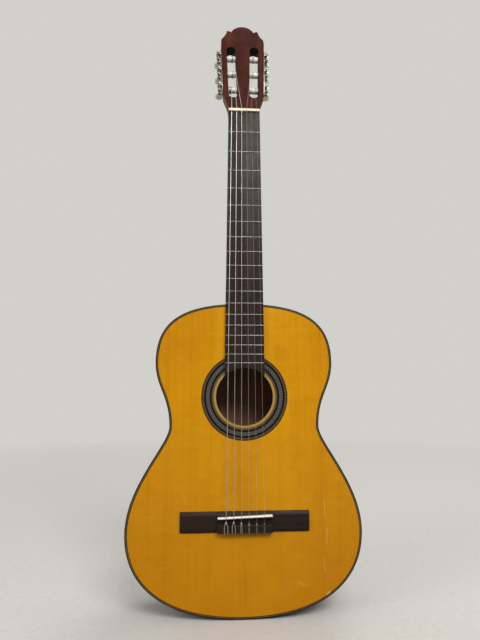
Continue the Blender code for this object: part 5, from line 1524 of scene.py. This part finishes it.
def worm_model():
    """Core, collars and thread, turned round its own Z."""
    core = lathe("worm_core", WORM_PROFILE, 40, STEEL, None, 32)
    turns, steps_per_turn = 2.5, 36
    start = ROLLER_DEPTH - turns / 2 * WORM_LEAD
    count = int(steps_per_turn * turns)
    root = 2.05
    verts = []
    for i in range(count + 1):
        f = i / count
        a = 2 * math.pi * turns * f
        z = start + WORM_LEAD * turns * f
        # the thread rises from the core over its first and last steps
        grow = min(1.0, min(f, 1 - f) * count / 10.0) ** 0.5
        tip = 2.1 + 1.8 * grow
        for radius, dz in ((root, -0.9), (tip, -0.35), (tip, 0.35), (root, 0.9)):
            verts.append(mm(radius * math.cos(a), radius * math.sin(a), z + dz))
    boolean(core, add_mesh("thread", verts, skin(count + 1, 4), STEEL, 40), "UNION")
    refinish(core, STEEL)
    tidy_flat(core, 36)
    return core


def gear_model():
    """Fourteen slanted teeth with eased tips and a recessed web, its axis along X."""
    root = 5.6
    slope = WORM_LEAD / (2.0 * math.pi * 3.25)
    # (radius, sideways) across one tooth, and (x, share of the tooth's height) through the gear
    flank = ((5.6, -0.85), (6.4, -0.62), (7.0, -0.42), (7.2, -0.25),
             (7.2, 0.25), (7.0, 0.42), (6.4, 0.62), (5.6, 0.85))
    layers = ((-1.5, 0.90), (-1.25, 1.0), (0.0, 1.0), (1.25, 1.0), (1.5, 0.90))
    rim = []
    for tooth in range(GEAR_TEETH):
        middle = math.pi / 2 + (tooth + 0.5) * 2 * math.pi / GEAR_TEETH
        rim += [(radius, middle + offset / radius) for radius, offset in flank]
    verts = []
    for x, ease in layers:
        twist = slope * x / 6.5
        for r, a in rim:
            eased = root + (r - root) * (ease if r > 5.7 else 1.0)
            verts.append(mm(x, eased * math.cos(a + twist), eased * math.sin(a + twist)))
    gear = add_mesh("gear", verts, skin(len(layers), len(rim)), BRASS, 32)
    cuts = []
    for end in (1, -1):
        section = [(4.9, end * 1.15), (3.2, end * 1.15), (3.2, end * 3.0), (4.9, end * 3.0)]
        verts = [mm(x, r * math.cos(a), r * math.sin(a))
                 for a in [2 * math.pi * i / 48 for i in range(48)] for r, x in section]
        cuts.append(add_mesh("cut", verts, skin(48, 4, closed=True), None, None))
    square = [(-1.4, -1.4), (1.4, -1.4), (1.4, 1.4), (-1.4, 1.4)]
    cuts.append(slab("cut", [square], -5.0, 5.0, None, place=None, along="x"))
    boolean(gear, merged(cuts))
    refinish(gear, BRASS)
    tidy_flat(gear, 32)
    return gear


def roller_model():
    """The post along Z with the gear end up: square drive, journal, flanged barrel, pivot."""
    profile = [(0.0, WORM_OUT - 1.6), (1.95, WORM_OUT - 1.6), (2.1, WORM_OUT - 1.75),
               (2.1, -10.4), (3.4, -9.8), (4.75, -9.8), (ROLLER_RADIUS, -10.05),
               (ROLLER_RADIUS, -24.45), (4.75, -24.7), (3.05, -24.8), (3.05, -31.6),
               (2.7, -32.0), (0.0, -32.0)]
    roller = lathe("roller", profile, 56, BARREL, None, 32)
    square = [(-1.33, -1.33), (1.33, -1.33), (1.33, 1.33), (-1.33, 1.33)]
    drive = slab("drive", [fillet(square, [0.2] * 4, 2)], WORM_OUT - 3.0, WORM_OUT + 1.5, BARREL,
                 place=None, along="z")
    boolean(roller, drive, "UNION")
    boolean(roller, rod((0, -8.0, -12.6), (0, 8.0, -12.6), 0.95, 20, HERE))
    tidy_flat(roller, 32)
    return roller


def button_model():
    """An oval pearl paddle on a tapered neck, bored for the shaft; its length along Z."""
    middle_z, half_length, half_width, half_thick = 32.4, 8.6, 7.5, 3.4
    rows, columns, squareness = 40, 48, 0.92
    angles = [2 * math.pi * j / columns for j in range(columns)]
    verts = []
    for z, radius in ((20.95, 2.50), (21.4, 2.62), (22.4, 2.74), (23.4, 2.86)):
        verts += [mm(radius * math.cos(a), radius * math.sin(a), z) for a in angles]
    for i in range(rows):
        a = math.pi * i / rows
        z = middle_z - half_length * math.cos(a)
        if z <= 24.2:
            continue
        swell = max(1e-4, math.sin(a)) ** 0.86
        wide, thick = half_width * swell, half_thick * swell ** 0.9
        if z < 27.2:
            # run down into the neck
            k = min(1.0, (27.2 - z) / 3.0)
            wide = wide * (1 - k) + max(wide, 2.95) * k
            thick = thick * (1 - k) + max(thick, 2.7) * k
        for b in angles:
            c, s = math.cos(b), math.sin(b)
            verts.append(mm(wide * math.copysign(abs(c) ** squareness, c),
                            thick * math.copysign(abs(s) ** squareness, s), z))
    tip = len(verts)
    last = tip - columns
    faces = skin(tip // columns, columns, caps=False) + [tuple(range(columns))]
    faces += [(last + j, last + (j + 1) % columns, tip) for j in range(columns)]
    verts.append(mm(0.0, 0.0, middle_z + half_length))
    button = add_mesh("button", verts, faces, PEARL, 50)
    boolean(button, rod((0, 0, 15.0), (0, 0, 28.9), 1.5, 24, HERE))
    tidy_flat(button, 50)
    return button


def tuners():
    for side, label in SIDES:
        machine_plate(side, label)
    worm, gear, roller, button = worm_model(), gear_model(), roller_model(), button_model()
    for number, row in POST_ROW.items():
        side = string_side(number)
        post_z = (row - 1) * POST_PITCH
        place = MACHINE_WORLD[side]
        post = place @ moved(0.0, ROLLER_DEPTH, post_z)
        peg = place @ moved(side * WORM_OUT, 0.0, post_z + WORM_OFFSET) @ TO_Y
        on_post, on_peg = "post_%d" % number, "peg_%d" % number
        gear_place = post @ moved(side * WORM_OUT, 0, 0)
        for model, label, where, carrier, slot, node in (
                (roller, "barrel_roller_%d", post @ OUTWARD[side], on_post, "roller_nylon",
                 "string_roller_%d"),
                (gear, "toothed_gear_%d", gear_place, on_post, "gear_brass", "worm_gear_%d"),
                (worm, "steel_worm_%d", peg, on_peg, "worm_steel", "worm_shaft_%d"),
                (button, "pearl_button_%d", peg, on_peg, "button_pearl", "tuner_button_%d")):
            piece = bpy.data.objects.new(label % number, model.data)
            bpy.context.scene.collection.objects.link(piece)
            piece.matrix_world = where
            register(piece, carrier, slot, node % number)
        where = post @ OUTWARD[side] @ moved(0, 0, WORM_OUT + 1.75)
        register(screw("gear_screw_%d" % number, where, 2.3, 1.0, STEEL), on_post, "worm_steel")
    for model in (worm, gear, roller, button):
        bpy.data.objects.remove(model, do_unlink=True)


# ------------------------------------------------------------------ strings
STRING_BOW = {6: 2.6, 5: 2.3, 4: 1.0, 3: 0.65, 2: 0.55, 1: 0.5}  # half width of the tie's loop
TIE_CROSS_Z = {6: 142.6, 5: 142.6, 4: 141.6, 3: 140.3, 2: 140.3, 1: 140.3}
KNOT_RADIUS = {3: 1.45, 2: 1.15, 1: 0.7}


def wraps(number, start):
    """Turns round the roller, beginning where the line from start touches it."""
    radius = STRING_DIAMETER[number] / 2.0
    side = string_side(number)
    place = MACHINE[side]
    local = (place.inverted() @ (Vector(start) * MM)) / MM
    row = POST_ROW[number]
    post_z = (row - 1) * POST_PITCH
    coil = ROLLER_RADIUS + radius + 0.07
    dy, dz = local.y - ROLLER_DEPTH, local.z - post_z
    tangent = math.atan2(dy, dz) + math.acos(coil / math.hypot(dy, dz))
    contact = side * (WRAP_X[row] - head_half(MACHINE_Z + post_z))
    advance = (2.0 * radius + 0.12) * side
    turns, steps_per_turn = 3.25, 28
    points = []
    for i in range(int(turns * steps_per_turn) + 1):
        t = i / steps_per_turn
        a = tangent + 2 * math.pi * t
        point = Vector((contact + advance * t, ROLLER_DEPTH + coil * math.sin(a),
                        post_z + coil * math.cos(a)))
        points.append((place @ (point * MM)) / MM)
    return points


def treble_knot(number, x, top_y):
    """A treble string's small knot on the bridge, just past the tie block."""
    size = KNOT_RADIUS[number]
    points = []
    for i in range(48):
        t = 2 * math.pi * i / 48
        reach = size * (0.62 + 0.38 * math.cos(3 * t))
        points.append((x + reach * math.cos(2 * t),
                       top_y - 0.55 * size + 0.32 * size * math.sin(3 * t),
                       BRIDGE_LOW + 13.0 + reach * math.sin(2 * t)))
    knot = tube("treble_knot_%d" % number, points, STRING_DIAMETER[number] / 2.0 * 0.9, 10, NYLON)
    register(knot, "root", "string_nylon")


def guitar_string(number):
    r = STRING_DIAMETER[number] / 2.0
    x, nut_x = string_x(number, SADDLE_SPREAD), string_x(number, NUT_SPREAD)
    saddle_z = SADDLE_Z + x * math.sin(math.radians(SADDLE_SLANT))
    saddle_y = -SADDLE_TOP - r - 0.04
    nut_y = NUT_SLOT_Y - r - 0.05
    top_y = TIE_TOP_Y - r - 0.05
    low, bow, cross_z = BRIDGE_LOW, STRING_BOW[number], TIE_CROSS_Z[number]
    # height of the string's own line, between its hole and the saddle, where the tie crosses
    f = (cross_z - TIE_MOUTH_Z) / (saddle_z - 1.4 - TIE_MOUTH_Z)
    line_y = TIE_HOLE_Y + (saddle_y - TIE_HOLE_Y) * max(0.0, min(1.0, f))
    cross_y = line_y - 1.0 * r - 1.0
    tie = [     # x, y, z and the reach of each bend
        (x + bow * 0.55, -6.4, low - r - 0.15, 0.0),
        (x + bow * 0.9, -9.0, low - r - 0.1, 1.2),
        (x + bow, top_y, low + 1.2, 1.6),
        (x + bow, top_y, low + 9.6, 2.6),
        (x + r + 0.15, cross_y, cross_z, 0.9),
        # under its own line and back over the block
        (x + 0.2, line_y + 2.2 * r, cross_z + 1.1 * r, 0.8),
        (x - r - 0.15, cross_y, cross_z, 0.9),
        (x - bow, top_y, low + 9.6, 2.6),
        (x - bow, top_y, low + 1.2, 1.6),
        (x - bow * 0.5, -8.8, low - r - 0.15, 1.2),
        # through the hole to the saddle
        (x, TIE_HOLE_Y, low - r - 0.1, 1.1),
        (x, TIE_HOLE_Y, low + 0.8, 0.6),
        (x, TIE_HOLE_Y, TIE_MOUTH_Z, 1.6),
        (x, saddle_y, saddle_z - 1.1, 0.8),
        (x, saddle_y, saddle_z + 0.7, 0.8),
        (nut_x, nut_y, NUT_EDGE - 0.2, 0.0),
    ]
    coils = wraps(number, (nut_x, nut_y, NUT_BACK + 0.4))
    over_nut = [(x, saddle_y, saddle_z + 0.7, 0.0), (nut_x, nut_y, NUT_EDGE + 0.4, 0.5),
                (nut_x, nut_y, NUT_BACK + 0.2, 0.5), (*coils[0], 0.0)]
    points = curved(tie, 6)[:-1] + curved(over_nut, 4)[1:-1] + coils
    # drop points that fall together
    path = [points[0]]
    for point in points[1:]:
        if (point - path[-1]).length > 0.02:
            path.append(point)
    plain = number <= 3
    string = tube("guitar_string_%d" % number, path, r, 12, NYLON if plain else WOUND)
    register(string, "root", "string_nylon" if plain else "string_wound", "string_%d" % number)
    if plain:
        treble_knot(number, x, top_y)


# ------------------------------------------------------------------ floor, light, camera (metres)
BACKDROP = (0.640, 0.632, 0.600)
LIGHT_AIM = (0.0, 0.0, 0.5)
CAMERA_PLACE = (-0.0578, -0.83735, 0.3545)
CAMERA_TURN = Vector((-6.96, -3.65, 0.15))      # rotation vector, degrees


def floor_material():
    """Soft grey near the guitar, fading to the backdrop for the camera; darker to other rays."""
    mat = Material("studio_floor", rough=0.85, spec=0.2)
    grit = mat.noise(mat.scaled(mat.object, 90.0))
    soft = mat.mix(grit.span(over=(0.3, 0.7)), (0.53, 0.525, 0.505), (0.57, 0.565, 0.545))
    x, y, _ = mat.split(mat.object)
    distance = mat.math("SQRT", x * x + y * y)
    seen = mat.field("ShaderNodeLightPath", "Is Camera Ray")
    mat.colour = (0.20, 0.197, 0.19)
    mat.paint(soft, seen)
    glow = mat.field("ShaderNodeEmission", 0, {"Color": BACKDROP})
    fade = mat.field("ShaderNodeMixShader", 0, {
        0: seen * distance.span(over=(0.7, 2.4)), 1: Field(mat, mat.shader.outputs[0]), 2: glow})
    mat.plug(mat.tree.nodes["Material Output"].inputs["Surface"], fade)
    return mat.finish(Normal=mat.bump(grit, strength=0.05, distance=0.0005))


def studio_floor():
    """A disc of three bands, set just under the guitar."""
    sides = 96
    verts, faces = [(0.0, 0.0, 0.0)], []
    for i in range(sides):
        angle = 2 * math.pi * i / sides
        verts += [(r * math.cos(angle), r * math.sin(angle), 0.0) for r in (1.0, 3.0, 40.0)]
    for i in range(sides):
        a, b = 1 + 3 * i, 1 + 3 * ((i + 1) % sides)
        faces += [(0, a, b), (a, a + 1, b + 1, b), (a + 1, a + 2, b + 2, b + 1)]
    floor = add_mesh("studio_floor", verts, faces, floor_material(), None, recalc=False)
    floor.location.z = -0.0006


def studio_world():
    """A plain backdrop to the eye, a graded room to reflections, soft light to the rest."""
    world = bpy.data.worlds.new("studio")
    bpy.context.scene.world = world
    world.use_nodes = True
    graph = Graph(world.node_tree)
    graph.tree.nodes.clear()
    output = graph.tree.nodes.new("ShaderNodeOutputWorld")

    _, _, height = graph.split(graph.field("ShaderNodeTexCoord", "Generated"))
    share = graph.math("MULTIPLY_ADD", height, 0.5, 0.5)
    shades = graph.field("ShaderNodeValToRGB", 0, {0: share})
    elements = shades.socket.node.color_ramp.elements
    # the order in which the stops are fetched, added and set decides the final ramp
    handles = [elements[0], elements[1], elements.new(0.55), elements.new(0.8)]
    stops = ((0.0, 0.02), (1.0, 0.16), (0.50, 0.035), (0.72, 0.10))     # position, grey
    for element, (position, grey) in zip(handles, stops):
        element.position = position
        element.color = (grey, grey * 0.985, grey * 0.95, 1.0)

    def background(colour, strength=1.0):
        return graph.field("ShaderNodeBackground", 0, {"Color": colour, "Strength": strength})

    glossy = graph.field("ShaderNodeLightPath", "Is Glossy Ray")
    unseen = graph.field("ShaderNodeMixShader", 0, {
        0: glossy, 1: background((1.0, 0.985, 0.95), strength=0.46), 2: background(shades)})
    final = graph.field("ShaderNodeMixShader", 0, {
        0: glossy.output("Is Camera Ray"), 1: unseen, 2: background(BACKDROP)})
    graph.plug(output.inputs[0], final)


def area_light(name, where, size, power, shine=True):
    """A soft rectangle aimed at the guitar; shine lets it show in reflections."""
    data = bpy.data.lights.new(name, "AREA")
    data.shape = "RECTANGLE"
    data.size, data.size_y = size
    data.energy = power
    data.color = (1.0, 0.985, 0.955)
    obj = bpy.data.objects.new(name, data)
    bpy.context.scene.collection.objects.link(obj)
    obj.location = where
    obj.rotation_mode = "QUATERNION"
    obj.rotation_quaternion = (Vector(LIGHT_AIM) - Vector(where)).to_track_quat("-Z", "Y")
    obj.visible_glossy = shine


def lights():
    area_light("key_above", where=(0.55, -1.90, 1.95), size=(1.3, 0.9), power=47.0)
    area_light("fill_left", where=(-2.0, -1.3, 1.3), size=(1.0, 1.4), power=20.0)
    area_light("rear_soft", where=(0.9, 1.7, 1.9), size=(1.6, 1.2), power=22.0, shine=False)
    area_light("rear_gloss", where=(-1.4, 1.5, 1.0), size=(0.5, 1.2), power=3.0)
    area_light("side_right", where=(1.9, 0.3, 1.2), size=(1.0, 1.6), power=4.0)


def camera():
    turn = Matrix.Rotation(math.radians(CAMERA_TURN.length), 3, CAMERA_TURN.normalized())
    # rows: the view's right, down and forward
    view = turn @ Matrix(((1, 0, 0), (0, 0, -1), (0, 1, 0)))
    data = bpy.data.cameras.new("camera")
    data.lens = 28.125
    data.sensor_width = 36.0
    data.clip_start = 0.02
    data.clip_end = 200.0
    obj = bpy.data.objects.new("camera", data)
    bpy.context.scene.collection.objects.link(obj)
    basis = Matrix((view[0], -view[1], -view[2])).transposed().to_4x4()
    obj.matrix_world = Matrix.Translation(CAMERA_PLACE) @ basis
    bpy.context.scene.camera = obj


# ------------------------------------------------------------------ build
body()
bridge()
saddle()
fingerboard()
for fret_number in range(1, FRET_COUNT + 1):
    fret(fret_number)
nut()
neck()
head_face()
heel_cap()
tuners()
for string_number in STRING_DIAMETER:
    guitar_string(string_number)
studio_floor()
studio_world()
lights()
camera()
bpy.context.scene.view_settings.view_transform = "Standard"
